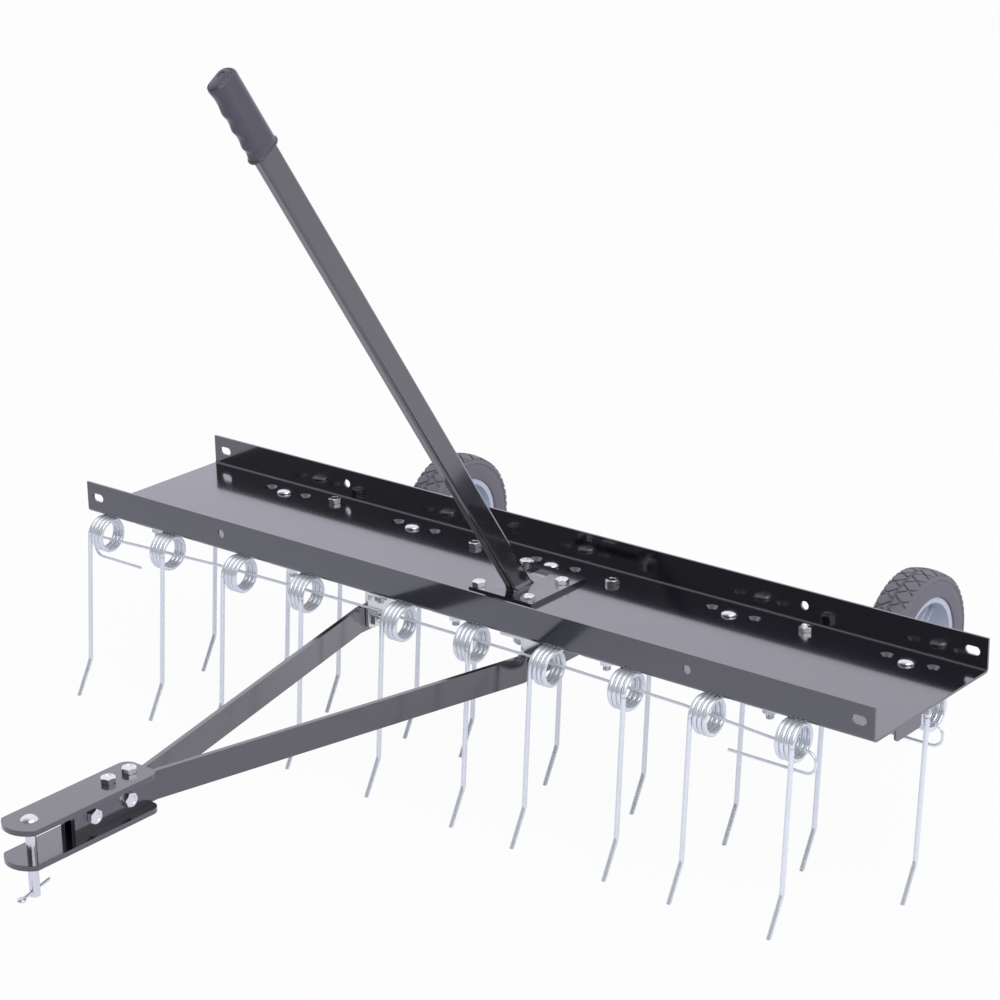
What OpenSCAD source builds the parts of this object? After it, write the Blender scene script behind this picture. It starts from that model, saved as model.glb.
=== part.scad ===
/* [Tray] */
// Length of the tray across the machine
tray_w = 1016; // [980:1:1200]
// Depth of the tray from its front flange to its rear flange, outside
tray_d = 203; // [196:1:240]
// Height of the flanges over the underside of the floor
flange_h = 35; // [30:1:60]
// Thickness of the sheet that the tray is folded from
sheet_t = 2.5; // [2:0.1:3]
// Inside radius of the two folds
fold_r = 2; // [1:0.5:4]
// Height of the underside of the floor over the ground
floor_h = 200; // [190:1:260]
// Height of the flange holes over the underside of the floor
hole_h = 19; // [16:1:22]
// Distance of the slots from the ends of the tray, to their middles
slot_inset = 16.5; // [14:0.5:30]
// Length of a flange slot
slot_l = 16; // [12:0.5:20]
// Height of a flange slot
slot_h = 9; // [7:0.5:11]
// Distance of the round flange holes from the ends of the tray
hole_in = 205; // [180:1:230]
// Width of the round flange holes
hole_d = 9; // [7:0.5:11]
// Length of the turned-down tab at each end of the floor
tab_l = 44; // [30:1:60]
// Distance of a tab's nearer end from the middle line
tab_y = 20; // [15:1:30]
// Depth of a tab below the floor
tab_h = 12.5; // [8:0.5:16]

/* [Handle] */
// Distance of the handle to the right of the middle line
stem_x = 25; // [20:1:30]
// Place of the stem's foot, forward of the middle of its plate
stem_in = 13.5; // [10:0.5:17]
// Lean of the stem towards the tractor
stem_lean = 34; // [25:1:40]
// Length of the stem and grip along their slope
stem_l = 706; // [500:1:900]
// Width of the flat tube across its broad side
stem_w = 25; // [20:1:28]
// Thickness of the flat tube
stem_b = 12; // [10:0.5:16]
// Wall of the flat tube
stem_t = 1.5; // [1:0.1:2]
// Length of the grip
grip_l = 86; // [70:1:140]
// Wall of the grip on the broad sides
grip_t = 3.5; // [2.5:0.1:5]
// Number of finger hollows along the grip
grip_hollows = 4; // [3:1:5]
// Width of the handle plate
plate_w = 82; // [76:1:90]
// Depth of the handle plate
plate_d = 93; // [90:1:98]
// Thickness of the handle plate
plate_t = 4; // [3:0.5:6]
// Width of the window through the plate and the floor
window_w = 27; // [20:1:32]
// Depth of the window through the plate and the floor
window_d = 17; // [10:1:20]

/* [Drawbar] */
// Distance of the pivot line behind the face of the front flange
pivot_in = 15.5; // [13:0.5:17]
// Drop of the pivot line below the floor
pivot_z = 31; // [29:1:34]
// Diameter of the pivot bolts
pivot_d = 10; // [8:0.5:10]
// Distance of the outer faces of the two ears from the middle line
ear_x = 104; // [98:1:108]
// Thickness of the angle brackets
ear_t = 4; // [3:0.5:5]
// Width of the flange of an angle bracket under the floor
ear_leg = 30; // [26:1:32]
// Thickness of the flat bar of the two arms
arm_t = 5; // [4:0.5:6]
// Height of the flat bar of the two arms
arm_h = 28; // [24:1:30]
// Reach of the arms in front of the front flange
arm_reach = 503.5; // [500:0.5:700]
// Distance of the rear ends of the arms behind the middle line
arm_tail = 5; // [0:1:8]
// Distance of the front bends of the arms behind their front ends
arm_straight = 100; // [90:1:120]
// Width of the two hitch plates
hitch_w = 43; // [38:1:50]
// Length of the two hitch plates
hitch_l = 159; // [150:1:200]
// Thickness of the two hitch plates
hitch_t = 5; // [4:0.5:8]
// Reach of the hitch plates past the front ends of the arms
hitch_reach = 66; // [60:1:80]
// Diameter of the hitch pin
pin_d = 9.5; // [8:0.5:12]
// Length of the hitch pin below its head
pin_l = 73; // [70:1:90]

/* [Spring tines] */
// Diameter of the spring wire
wire_d = 5; // [4.5:0.1:5.2]
// Mean radius of a coil
coil_r = 17.5; // [16.5:0.5:19]
// Number of turns in a coil, ending a quarter turn past a whole number
coil_turns = 3.25; // [3.25:1:4.25]
// Pitch of a coil
coil_pitch = 5.5; // [5.5:0.1:5.8]
// Distance between the two fingers of a pair
finger_gap = 113; // [108:1:118]
// Distance from the coil's middle back to the crossing end of the wire
loop_l = 49.5; // [46:0.5:51]
// Distance of the tine bolts from the outer faces of the flanges
bolt_in = 32; // [30.5:0.5:33.5]
// Distance of the front coils in front of their bolts
front_loop = 31.5; // [30:0.5:38]
// Distance of the rear coils in front of their bolts
rear_loop = 37.5; // [36:0.5:41]
// Place of the first bolt of the rear row, as a share of half the tray's length
rear_at_1 = -0.73; // [-0.75:0.005:-0.725]
// Distance of the second bolt of the rear row to the left of the left ear
rear_off_2 = 77; // [75:1:80]
// Distance of the third bolt of the rear row to the right of the middle
rear_off_3 = 10; // [8:1:12]
// Place of the fourth bolt of the rear row, as a share of half the tray's length
rear_at_4 = 0.461; // [0.453:0.001:0.47]
// Place of the fifth bolt of the rear row, as a share of half the tray's length
rear_at_5 = 0.862; // [0.85:0.002:0.866]
// Shift of the front row to the right of the rear row's mirror image
front_shift = 5; // [3:1:6]
// Height of the bend in a finger over the ground
bend_h = 37; // [30:1:50]
// Forward lean of a finger between its coil and its bend
finger_lean = 11.5; // [8:0.5:20]
// Forward reach of a finger from its bend to its tip
tip_reach = 20; // [12:1:30]
// Diameter of the tine bolts
tine_bolt_d = 8; // [6:0.5:8]
// Length of the tine bolts under their heads
tine_bolt_l = 25; // [23:1:30]

/* [Rods] */
// Diameter of the two retaining rods
rod_d = 3; // [2.5:0.5:4]
// Distance of a rod's far end inside the end of the tray
rod_in_far = 5; // [-2:1:8]
// Distance of the bend at a rod's near end inside the other end of the tray
rod_in_near = 72; // [68:1:76]
// Length of the returned leg at a rod's far end
hook_far = 60; // [40:1:80]
// Length of the returned leg at a rod's near end
hook_near = 85; // [60:1:100]
// Drop of the front rod's ends below its middle
rod_droop = 11; // [8:1:13]
// Drop of the front rod's outer bends below its middle
rod_sag = 2.6; // [1:0.2:4]

/* [Wheels] */
// Place of the two wheels, as a share of half the tray's length
wheel_at = 0.612; // [0.59:0.002:0.622]
// Shift of both wheels to the right of the middle line
wheel_shift = 7; // [0:1:7]
// Distance of the axles behind the rear flange
axle_out = 185.5; // [170:0.5:220]
// Drop of the axles below the floor
axle_z = 76.5; // [66:0.5:90]
// Outside radius of the tyres
tyre_r = 76.5; // [70:0.5:84]
// Width of the tyres
tyre_w = 39.5; // [36:0.5:42]
// Outside radius of the rims
rim_r = 50; // [46:0.5:54]
// Number of spokes in a rim
spokes = 5; // [4:1:7]
// Radius of the tread's crown, across the tyre
crown_r = 45; // [38:1:80]
// Number of tread grooves of each slant round each half of a tyre
blocks = 28; // [18:1:30]
// Depth of the tread grooves
tread_d = 2.4; // [1.5:0.1:3]
// Diameter of the axle bolts
axle_d = 10; // [8:0.5:12]
// Thickness of the wheel forks
fork_t = 4; // [3:0.5:5]

/* [Fits] */
// Radial clearance of a running fit, such as a wheel on its axle
run_gap = 0.05; // [0.02:0.01:0.1]
// Clearance of a bolt in a plain hole, all round
hole_gap = 0.3; // [0.2:0.1:0.5]
// Gap between neighbours that move against each other
side_gap = 0.3; // [0.2:0.05:0.5]

/* [Hidden] */
$fn = 64;

black_coat = [0.17, 0.175, 0.2];
zinc = [0.8, 0.82, 0.84];
grip_grey = [0.3, 0.31, 0.35];
rubber = [0.25, 0.25, 0.27];
rim_blue = [0.56, 0.64, 0.7];

// Cuts run this far past the faces that they open
past = 1;

// Half the length of the tray, and half its depth
half_w = tray_w / 2;
half_d = tray_d / 2;
hole_x = half_w - hole_in;

// Footprint of the machine, from the hitch plates to the tyres
arm_front = half_d + arm_reach;
axle_y = half_d + axle_out;
front_y = arm_front + hitch_reach;
back_y = axle_y + tyre_r;
mid_y = (back_y - front_y) / 2;

// Standard bolt proportions
m8_d = 8;
m8_head_w = 13;
m8_head_h = 5.3;
m8_nut_h = 6.5;
pivot_head_w = pivot_d * 1.7;
pivot_head_h = pivot_d * 0.64;
pivot_nut_h = pivot_d * 0.8;
axle_head_w = axle_d * 1.7;
axle_head_h = axle_d * 0.64;
axle_nut_h = axle_d * 0.8;
thread_out = 3;

// Handle
plate_x = stem_x - plate_w / 2;
plate_y = half_d - 44.5 - plate_d;
stem_y = -(plate_y + plate_d / 2 - stem_in);
plate_top = sheet_t + plate_t;
edge_in = 7.5;
handle_holes = [[plate_x + edge_in, plate_y + edge_in + 1],
    [plate_x + plate_w - edge_in - 2, plate_y + edge_in - 1],
    [plate_x + edge_in + 1, plate_y + plate_d - edge_in - 0.5],
    [plate_x + plate_w - edge_in - 3, plate_y + plate_d - edge_in - 21.5]];
window_x = plate_x + 19;
window_y = plate_y + plate_d - window_d - 10;
stem_corner = 3;
weld_h = 5;
weld_out = 4;
grip_r = stem_b / 2 + grip_t;
grip_half = stem_w / 2 + grip_t - grip_r;
grip_cap = 4;
hollow_r = 13;
hollow_depth = 1.6;
lip_t = 3;
lip_out = 1.8;

// Tines: the coil axis hangs so that the top of the coil seats under the floor
wire_r = wire_d / 2;
coil_z = -(side_gap + wire_r + coil_r);
coil_in = finger_gap / 2 - coil_turns * coil_pitch;
loop_corner = 7.5;
rings_a_turn = 7;
wire_sides = 6;
tip_flat = 0.5;
bolt_y = half_d - bolt_in;
front_coil_y = bolt_y + front_loop;
rear_coil_y = bolt_y - rear_loop;
rear_x = [rear_at_1 * half_w, -ear_x - rear_off_2, rear_off_3, rear_at_4 * half_w,
    rear_at_5 * half_w];
front_x = [for (i = [4:-1:0]) front_shift - rear_x[i]];
bolt_head_r = 8.8;
bolt_head_h = 4.4;
tine_nut_w = 13;
tine_nut_h = 9;
clamp_w = 40;
clamp_heel = 15.5;
clamp_back = 20.5;
clamp_t = 2;
clamp_corner = 3;
clamp_z = -(wire_d + 2 * side_gap);
dimple_in = 13;
dimple_x = coil_in - dimple_in;
dimple_y = 4.5;
dimple_r = 7.5;
dimple_wall = 2.3;
dimple_taper = 4;
dimple_depth = 2.5;

// Drawbar
arm_in = m8_d / 2 + side_gap;
arm_x = ear_x + side_gap;
arm_mid_z = -pivot_z;
arm_top = arm_mid_z + arm_h / 2;
arm_low = arm_mid_z - arm_h / 2;
pivot_y = half_d - pivot_in;
arm_bend_y = pivot_y + 17;
arm_turn = atan((arm_x - arm_in) / (arm_front - arm_straight - arm_bend_y));
arm_mitre = arm_t * tan(arm_turn / 2);
ear_front = pivot_y + 10;
ear_back = 4;
ear_low = pivot_z + 11;
ear_corner = 6;
leg_back = half_d - 24.5;
leg_hole_in = 11;
leg_holes_y = [-pivot_y, leg_back - leg_hole_in];
leg_hole_x = ear_x - ear_leg / 2 + 2;
upright_in = [50.4, 76];
across_in = [21.5, 64];
plate_bolts_y = [for (d = upright_in) d - arm_front];
arm_bolts_y = [for (d = across_in) d - arm_front];
pin_in = 23.5;
pin_y = pin_in - front_y;
pin_head_r = 8;
pin_head_h = 4;
nose_r = 13;
split_d = 3.2;
split_l = 49;
split_turn = 15;
split_z = arm_top + hitch_t - pin_l + 5;

// Rods
rod_r = rod_d / 2;
rod_z = arm_top + rod_r + run_gap * 2;
rod_far = half_w - rod_in_far;
rod_near = half_w - rod_in_near;
rod_bends = [ear_x + 6, half_w * 0.59];
rod_sides = 12;
hook_steps = 10;
rod_low = coil_z - (coil_r * cos(180 / rings_a_turn) - wire_r - rod_r - side_gap);
hook_r = 11.5;

// Wheels
wheel_x = wheel_at * half_w;
hub_r = 13;
hub_l = tyre_w + 3.4;
rim_band = 5;
rim_w = tyre_w - 5;
rim_groove = 2;
rim_lip = 4;
fork_in = hub_l / 2 + side_gap;
fork_half = fork_in + fork_t;
fork_end_r = 14;
fork_y1 = half_d - 13.5;
fork_y2 = half_d + 23.5;
fork_drop = 30;
fork_tongue_w = 40;
fork_tongue_y = half_d - 41.5;
fork_bolt_y = half_d - 22;
spoke_w = 14;
spoke_rib = 2.5;
shoulder = 5;
crown_drop = crown_r - sqrt(crown_r * crown_r - tyre_w * tyre_w / 4);
tread_slant = 35;
groove_w = 2.6;
groove_start = 1.6;

// Everything below is placed about the middle of the floor's underside;
// this sets the whole on the ground, under the middle of its footprint
module placed() {
    translate([0, -mid_y, floor_h])
        children();
}

module left_and_right() {
    children();
    mirror([1, 0, 0])
        children();
}

// Puts what belongs to a wheel of the right side on the right, or else on the left
module right_wheel() {
    translate([wheel_shift, 0, 0])
        children();
}

module left_wheel() {
    right_wheel()
        mirror([1, 0, 0])
            children();
}

module both_wheels() {
    right_wheel()
        children();
    left_wheel()
        children();
}

// Cylinder along X, from x to x + l
module rod_x(x, y, z, r, l) {
    translate([x, y, z])
        rotate([0, 90, 0])
            cylinder(r = r, h = l);
}

module hexagon(w, h) {
    cylinder(d = w / cos(30), h = h, $fn = 6);
}

// Hex-headed bolt with its head upwards and its bearing face at z = 0
module hex_bolt(d, l, head_w, head_h) {
    intersection() {
        hexagon(head_w, head_h);
        translate([0, 0, head_h - head_w * 0.9])
            sphere(r = head_w * 1.02);
    }
    translate([0, 0, -l])
        cylinder(d = d, h = l + past);
}

// Hexagon nut with its bearing face at z = 0 and its bore clear of the bolt
module hex_nut(d, w, h) {
    translate([0, 0, -h])
        difference() {
            hexagon(w, h);
            translate([0, 0, -past])
                cylinder(r = d / 2 + run_gap, h = h + 2 * past);
        }
}

// Rounded bar of length l, drawn flat, with its corners cut to radius r
module rounded(x, y, r) {
    translate([r, 0])
        square([x - 2 * r, y]);
    translate([0, r])
        square([x, y - 2 * r]);
    for (i = [r, x - r], j = [r, y - r])
        translate([i, j])
            circle(r = r);
}

// Slot outline of length l and height h, about its middle, along x
module slot(l, h) {
    square([l - h, h], center = true);
    for (s = [-1, 1])
        translate([s * (l - h) / 2, 0])
            circle(d = h);
}

// Tray: a channel folded from sheet, open at both ends

// Half of the channel's section, in y and z
module half_section() {
    out_r = fold_r + sheet_t;
    half = tray_d / 2;
    square([half - out_r, sheet_t]);
    translate([half - sheet_t, out_r])
        square([sheet_t, flange_h - out_r]);
    translate([half - out_r, out_r])
        intersection() {
            difference() {
                circle(r = out_r);
                circle(r = fold_r);
            }
            translate([0, -out_r])
                square(out_r);
        }
}

module flange_holes() {
    rotate([90, 0, 0])
        translate([0, hole_h, -tray_d])
            linear_extrude(2 * tray_d)
                left_and_right() {
                    translate([tray_w / 2 - slot_inset, 0])
                        slot(slot_l, slot_h);
                    translate([hole_x, 0])
                        circle(d = hole_d);
                }
}

// Calls its children at every tine bolt; turned end for end, the rows match but for a shift
module at_tine_bolts() {
    for (x = rear_x)
        translate([x, bolt_y, 0])
            children();
    for (x = front_x)
        translate([x, -bolt_y, 0])
            rotate(180)
                children();
}

// One of the pressed cones that keep the wire from turning on its bolt
module dimple(r_top, r_low, h) {
    for (s = [-1, 1])
        translate([s * dimple_x, dimple_y, 0])
            mirror([0, 0, 1])
                cylinder(r1 = r_top, r2 = r_low, h = h);
}

module end_tab() {
    translate([tray_w / 2 - sheet_t, -tab_y - tab_l, -tab_h])
        rotate([90, 0, 90])
            linear_extrude(sheet_t) {
                translate([0, tab_h / 2])
                    square([tab_l, tab_h / 2 + past]);
                rounded(tab_l, tab_h, tab_h / 3);
            }
}

module tray() {
    color(black_coat)
        difference() {
            union() {
                translate([-tray_w / 2, 0, 0])
                    rotate([90, 0, 90])
                        linear_extrude(tray_w) {
                            half_section();
                            mirror([1, 0])
                                half_section();
                        }
                at_tine_bolts()
                    dimple(dimple_r - dimple_wall, dimple_r - dimple_taper, dimple_depth);
                end_tab();
                rotate(180)
                    end_tab();
            }
            flange_holes();
            at_tine_bolts() {
                translate([0, 0, -past])
                    cylinder(r = tine_bolt_d / 2 + hole_gap, h = sheet_t + 2 * past);
                translate([0, 0, sheet_t])
                    dimple(dimple_r, dimple_r - dimple_taper, dimple_depth + 0.5);
            }
            floor_hole(handle_holes);
            translate([window_x, window_y, -past])
                cube([window_w, window_d, sheet_t + 2 * past]);
            left_and_right()
                floor_hole([for (y = leg_holes_y) [leg_hole_x, y]]);
            both_wheels()
                floor_hole([[wheel_x, fork_bolt_y]]);
        }
}

// Plain holes for the 8 mm bolts through sheet or plate under z = top
module floor_hole(places, bottom = 0, top = sheet_t) {
    for (p = places)
        translate([p[0], p[1], bottom - past])
            cylinder(r = m8_d / 2 + hole_gap, h = top - bottom + 2 * past);
}

// Handle: a flat tube welded to a plate

// Turns its children to the slope of the stem, from its foot on the plate
module on_stem(l = 0) {
    translate([stem_x, -stem_y, plate_top])
        rotate([stem_lean, 0, 0])
            translate([0, 0, l])
                children();
}

module tube_outline(out = 0) {
    translate([-stem_b / 2 - out, -stem_w / 2 - out])
        rounded(stem_b + 2 * out, stem_w + 2 * out, stem_corner + out);
}

module handle() {
    foot = -stem_w;
    color(black_coat) {
        difference() {
            translate([plate_x, plate_y, sheet_t])
                linear_extrude(plate_t)
                    rounded(plate_w, plate_d, 1);
            floor_hole(handle_holes, sheet_t, plate_top);
            translate([window_x, window_y, sheet_t - past])
                cube([window_w, window_d, plate_t + 2 * past]);
        }
        difference() {
            on_stem(foot)
                linear_extrude(stem_l - grip_cap - foot - side_gap)
                    tube_outline();
            on_stem(foot)
                linear_extrude(stem_l + stem_w)
                    tube_outline(-stem_t);
            translate([-tray_w / 2, -tray_w / 2, -tray_w])
                cube([tray_w, tray_w, tray_w + plate_top]);
        }
        weld();
    }
}

// Bead of weld round the foot of the stem
module weld() {
    difference() {
        hull() {
            translate([stem_x, -stem_y, plate_top])
                linear_extrude(0.1)
                    foot_outline(weld_out);
            translate([stem_x, -stem_y - weld_h * tan(stem_lean), plate_top + weld_h])
                linear_extrude(0.1)
                    foot_outline(0.2);
        }
        on_stem(-stem_w)
            linear_extrude(stem_w + stem_l)
                tube_outline(-stem_t / 2);
    }
}

// Section of the sloping tube in the plane of the plate
module foot_outline(out) {
    w = stem_w / cos(stem_lean);
    translate([-stem_b / 2 - out, -w / 2 - out])
        rounded(stem_b + 2 * out, w + 2 * out, stem_corner + out);
}

// Grip: an oval moulding pushed over the end of the tube
module grip() {
    color(grip_grey)
        on_stem(stem_l - grip_l)
            difference() {
                intersection() {
                    union() {
                        linear_extrude(grip_l)
                            grip_outline();
                        linear_extrude(lip_t)
                            grip_outline(lip_out);
                    }
                    grip_dome();
                }
                translate([0, 0, -past])
                    linear_extrude(grip_l - grip_cap + past)
                        tube_outline(run_gap);
                finger_hollows();
            }
}

module grip_outline(out = 0) {
    square([2 * (grip_r + out), 2 * grip_half], center = true);
    for (s = [-1, 1])
        translate([0, s * grip_half])
            circle(r = grip_r + out);
}

// Domes the closed end of the grip
module grip_dome() {
    dome = grip_half * 2 + grip_r * 2;
    translate([0, 0, grip_l - dome])
        sphere(r = dome);
    translate([-dome, -dome, -past])
        cube([2 * dome, 2 * dome, grip_l - dome / 2 + past]);
}

module finger_hollows() {
    pitch = (grip_l - 4 * lip_t) / grip_hollows;
    for (i = [0:grip_hollows - 1])
        translate([-2 * grip_r, 0, 2 * lip_t + (i + 0.5) * pitch])
            rotate([0, 90, 0])
                translate([0, -grip_half - grip_r - hollow_r + hollow_depth, 0])
                    cylinder(r = hollow_r, h = 4 * grip_r);
}

module handle_bolts() {
    color(zinc)
        for (p = handle_holes)
            translate([p[0], p[1], plate_top])
                hex_bolt(m8_d, plate_top, m8_head_w, m8_head_h);
}

// Drawbar brackets: two angles under the floor, their ears outwards
module pivot_bracket() {
    color(zinc)
        difference() {
            union() {
                translate([ear_x - ear_leg, -ear_front, -ear_t])
                    linear_extrude(ear_t)
                        square([ear_leg, ear_front + leg_back]);
                translate([ear_x - ear_t, -ear_front, -ear_low])
                    rotate([90, 0, 90])
                        linear_extrude(ear_t) {
                            rounded(ear_front + ear_back, ear_low, ear_corner);
                            translate([0, ear_low / 2])
                                square([ear_front + ear_back, ear_low / 2]);
                        }
            }
            rod_x(ear_x - ear_t - past, -pivot_y, -pivot_z, pivot_d / 2 + run_gap, ear_t + 2 * past);
            floor_hole([for (y = leg_holes_y) [leg_hole_x, y]], -ear_t, 0);
        }
}

module bracket_bolts() {
    color(zinc)
        left_and_right()
            for (y = leg_holes_y)
                translate([leg_hole_x, y, sheet_t])
                    hex_bolt(m8_d, sheet_t + ear_t + m8_nut_h + thread_out, m8_head_w, m8_head_h);
}

module bracket_nuts() {
    color(zinc)
        left_and_right()
            for (y = leg_holes_y)
                translate([leg_hole_x, y, -ear_t])
                    hex_nut(m8_d, m8_head_w, m8_nut_h);
}

module pivot_bolt() {
    reach = arm_t + side_gap + ear_t + pivot_nut_h + thread_out;
    color(zinc)
        translate([arm_x + arm_t + side_gap, -pivot_y, -pivot_z])
            rotate([0, 90, 0])
                hex_bolt(pivot_d, reach + side_gap, pivot_head_w, pivot_head_h);
}

module pivot_nut() {
    color(zinc)
        translate([ear_x - ear_t, -pivot_y, -pivot_z])
            rotate([0, 90, 0])
                hex_nut(pivot_d, pivot_head_w, pivot_nut_h);
}

// Arm of the drawbar: a flat bar on edge, bent where it leaves the hitch and the ear
module arm() {
    straight_y = -arm_front + arm_straight;
    color(black_coat)
        difference() {
            translate([0, 0, arm_low])
                linear_extrude(arm_h)
                    polygon([[arm_in, -arm_front], [arm_in, straight_y], [arm_x, -arm_bend_y],
                        [arm_x, arm_tail], [arm_x + arm_t, arm_tail],
                        [arm_x + arm_t, -arm_bend_y - arm_mitre],
                        [arm_in + arm_t, straight_y - arm_mitre], [arm_in + arm_t, -arm_front]]);
            rod_x(arm_x - past, -pivot_y, -pivot_z, pivot_d / 2 + run_gap, arm_t + 2 * past);
            for (y = arm_bolts_y)
                rod_x(0, y, arm_mid_z, m8_d / 2 + hole_gap, arm_x);
            tail_corners();
        }
}

// Rounds the two corners at the tail of an arm
module tail_corners() {
    r = arm_h / 3;
    for (s = [0, 1])
        translate([arm_x - past, arm_tail, s ? arm_top : arm_low])
            mirror([0, 0, s])
                rotate([90, 0, 90])
                    linear_extrude(arm_t + 2 * past)
                        difference() {
                            translate([-r, -past])
                                square([r + past, r + past]);
                            translate([-r, r])
                                circle(r = r);
                        }
}

// Outline of a hitch plate: tapered to a round nose in front, rounded behind
module hitch_outline() {
    taper = nose_r;
    translate([-hitch_w / 2, -front_y + taper])
        rounded(hitch_w, hitch_l - taper, hitch_w / 4);
    intersection() {
        translate([-hitch_w / 2, -front_y])
            square([hitch_w, 3 * taper]);
        translate([0, -front_y + hitch_w * 0.62])
            circle(r = hitch_w * 0.62);
    }
}

module hitch_plate(z) {
    color(black_coat)
        translate([0, 0, z])
            difference() {
                linear_extrude(hitch_t)
                    hitch_outline();
                translate([0, pin_y, -past])
                    cylinder(r = pin_d / 2 + run_gap, h = hitch_t + 2 * past);
                floor_hole([for (y = plate_bolts_y) [0, y]], 0, hitch_t);
            }
}

module hitch_bolts() {
    length = arm_h + 2 * hitch_t + m8_nut_h + thread_out;
    across = 2 * (arm_in + arm_t) + m8_nut_h + thread_out;
    color(zinc) {
        for (y = plate_bolts_y)
            translate([0, y, arm_top + hitch_t])
                hex_bolt(m8_d, length, m8_head_w, m8_head_h);
        for (y = arm_bolts_y)
            translate([arm_in + arm_t, y, arm_mid_z])
                rotate([0, 90, 0])
                    hex_bolt(m8_d, across, m8_head_w, m8_head_h);
    }
}

module hitch_nuts() {
    color(zinc) {
        for (y = plate_bolts_y)
            translate([0, y, arm_low - hitch_t])
                hex_nut(m8_d, m8_head_w, m8_nut_h);
        for (y = arm_bolts_y)
            translate([-arm_in - arm_t, y, arm_mid_z])
                rotate([0, 90, 0])
                    hex_nut(m8_d, m8_head_w, m8_nut_h);
    }
}

// Hitch pin with a low domed head, cross-drilled for its split pin
module hitch_pin() {
    color(zinc)
        difference() {
            translate([0, pin_y, arm_top + hitch_t]) {
                dome_head(pin_head_r, pin_head_h);
                translate([0, 0, -pin_l])
                    cylinder(d = pin_d, h = pin_l + past);
            }
            split_place()
                translate([0, 0, -pin_d])
                    cylinder(r = split_d / 2 + run_gap, h = 2 * pin_d);
        }
}

// Domed head with its bearing face at z = 0
module dome_head(r, h) {
    ball = (r * r + h * h) / (2 * h);
    intersection() {
        translate([0, 0, h - ball])
            sphere(r = ball);
        cylinder(r = 2 * r, h = 2 * h);
    }
}

// Puts z along the split pin, at the middle of the cross hole
module split_place() {
    translate([0, pin_y, split_z])
        rotate([0, 0, split_turn])
            rotate([90, 0, 0])
                children();
}

// Split pin: two legs side by side in one round, with an eye in front
module split_pin() {
    eye_r = split_d * 0.95;
    color(zinc)
        split_place() {
            translate([0, 0, -split_l / 2])
                cylinder(d = split_d, h = split_l - 2 * eye_r);
            translate([0, 0, split_l / 2 - eye_r])
                rotate([90, 0, 0])
                    rotate_extrude()
                        translate([eye_r, 0])
                            circle(r = split_d / 4);
        }
}

// Spring tines: each pair is one wire, wound into two coils and bent into two fingers

// Middle line of the right half of a pair, from the crossing end to the tip:
// x across, y forward of the coil's axis counted negative, z above that axis
coil_steps = floor(coil_turns * rings_a_turn);
tip_tilt = atan(tip_reach / bend_h);
loop_line = [for (a = [90, 45, 0])
    [coil_in - loop_corner + loop_corner * cos(a), loop_l - loop_corner + loop_corner * sin(a),
        coil_r]];
coil_line = [for (i = [0:coil_steps + 1])
    let (a = min(i * 360 / rings_a_turn, coil_turns * 360))
        [coil_in + coil_pitch * a / 360, -coil_r * sin(a), coil_r * cos(a)]];
ground_z = -floor_h - coil_z;
tip_z = ground_z + wire_r * sin(tip_tilt) - tip_flat;
finger_line = [
    [finger_gap / 2, -coil_r - finger_lean, ground_z + bend_h],
    [finger_gap / 2, -coil_r - finger_lean - tip_reach, tip_z]];
half_line = concat(loop_line, coil_line, finger_line);
wire_line = concat([for (i = [len(half_line) - 1:-1:0])
    [-half_line[i][0], half_line[i][1], half_line[i][2]]], half_line);

function unit(v) = v / norm(v);

// Direction of the wire at point i
function heading(p, i) = i == 0 ? unit(p[1] - p[0])
    : i == len(p) - 1 ? unit(p[i] - p[i - 1])
    : unit(unit(p[i] - p[i - 1]) + unit(p[i + 1] - p[i]));

// Side direction of each ring, carried from ring to ring without twist
function carried(v, t) = unit(v - (v * t) * t);
function sides_of(p, v, i = 0, out = []) = i == len(p) ? out
    : let (w = carried(v, heading(p, i)))
        sides_of(p, w, i + 1, concat(out, [w]));

// Rings of points round the line p, the first one turned by the direction v
function tube_rings(p, r, n, v = [1, 0, 0]) = let (side = sides_of(p, v))
    [for (i = [0:len(p) - 1], k = [0:n - 1])
        let (u = side[i], v = cross(heading(p, i), u), a = (k + 0.5) * 360 / n)
            p[i] + r * (cos(a) * u + sin(a) * v)];

// Triangles between the rings, and a fan on each end
function tube_faces(m, n) = concat(
    [for (i = [0:m - 2], k = [0:n - 1])
        [i * n + k, i * n + (k + 1) % n, (i + 1) * n + k]],
    [for (i = [0:m - 2], k = [0:n - 1])
        [i * n + (k + 1) % n, (i + 1) * n + (k + 1) % n, (i + 1) * n + k]],
    [for (k = [1:n - 2]) [0, k + 1, k]],
    [for (k = [1:n - 2]) [(m - 1) * n, (m - 1) * n + k, (m - 1) * n + k + 1]]);

wire_points = tube_rings(wire_line, wire_r, wire_sides);

// Least gap of the wire to itself, between rings at least half a turn apart
apart = floor(rings_a_turn / 2);
ring_count = len(wire_line);
least_gap = min([for (i = [0:ring_count - 1], j = [i + apart:1:ring_count - 1])
    norm(wire_line[i] - wire_line[j])]) - wire_d;
echo(str("Least gap of a tine wire to itself, mm: ", least_gap));

// One pair about its coil axis, its tips cut flat where they stand on the ground
module tine(x, y) {
    color(zinc)
        difference() {
            translate([x, y, coil_z])
                polyhedron(wire_points, tube_faces(ring_count, wire_sides), convexity = 8);
            translate([x - finger_gap, y - 2 * loop_l, -floor_h - wire_d])
                cube([2 * finger_gap, 2 * loop_l, wire_d]);
        }
}

module tine_bolts(xs, y) {
    color(zinc)
        for (x = xs)
            translate([x, y, sheet_t]) {
                dome_head(bolt_head_r, bolt_head_h);
                translate([0, 0, -tine_bolt_l])
                    cylinder(d = tine_bolt_d, h = tine_bolt_l + past);
            }
}

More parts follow.
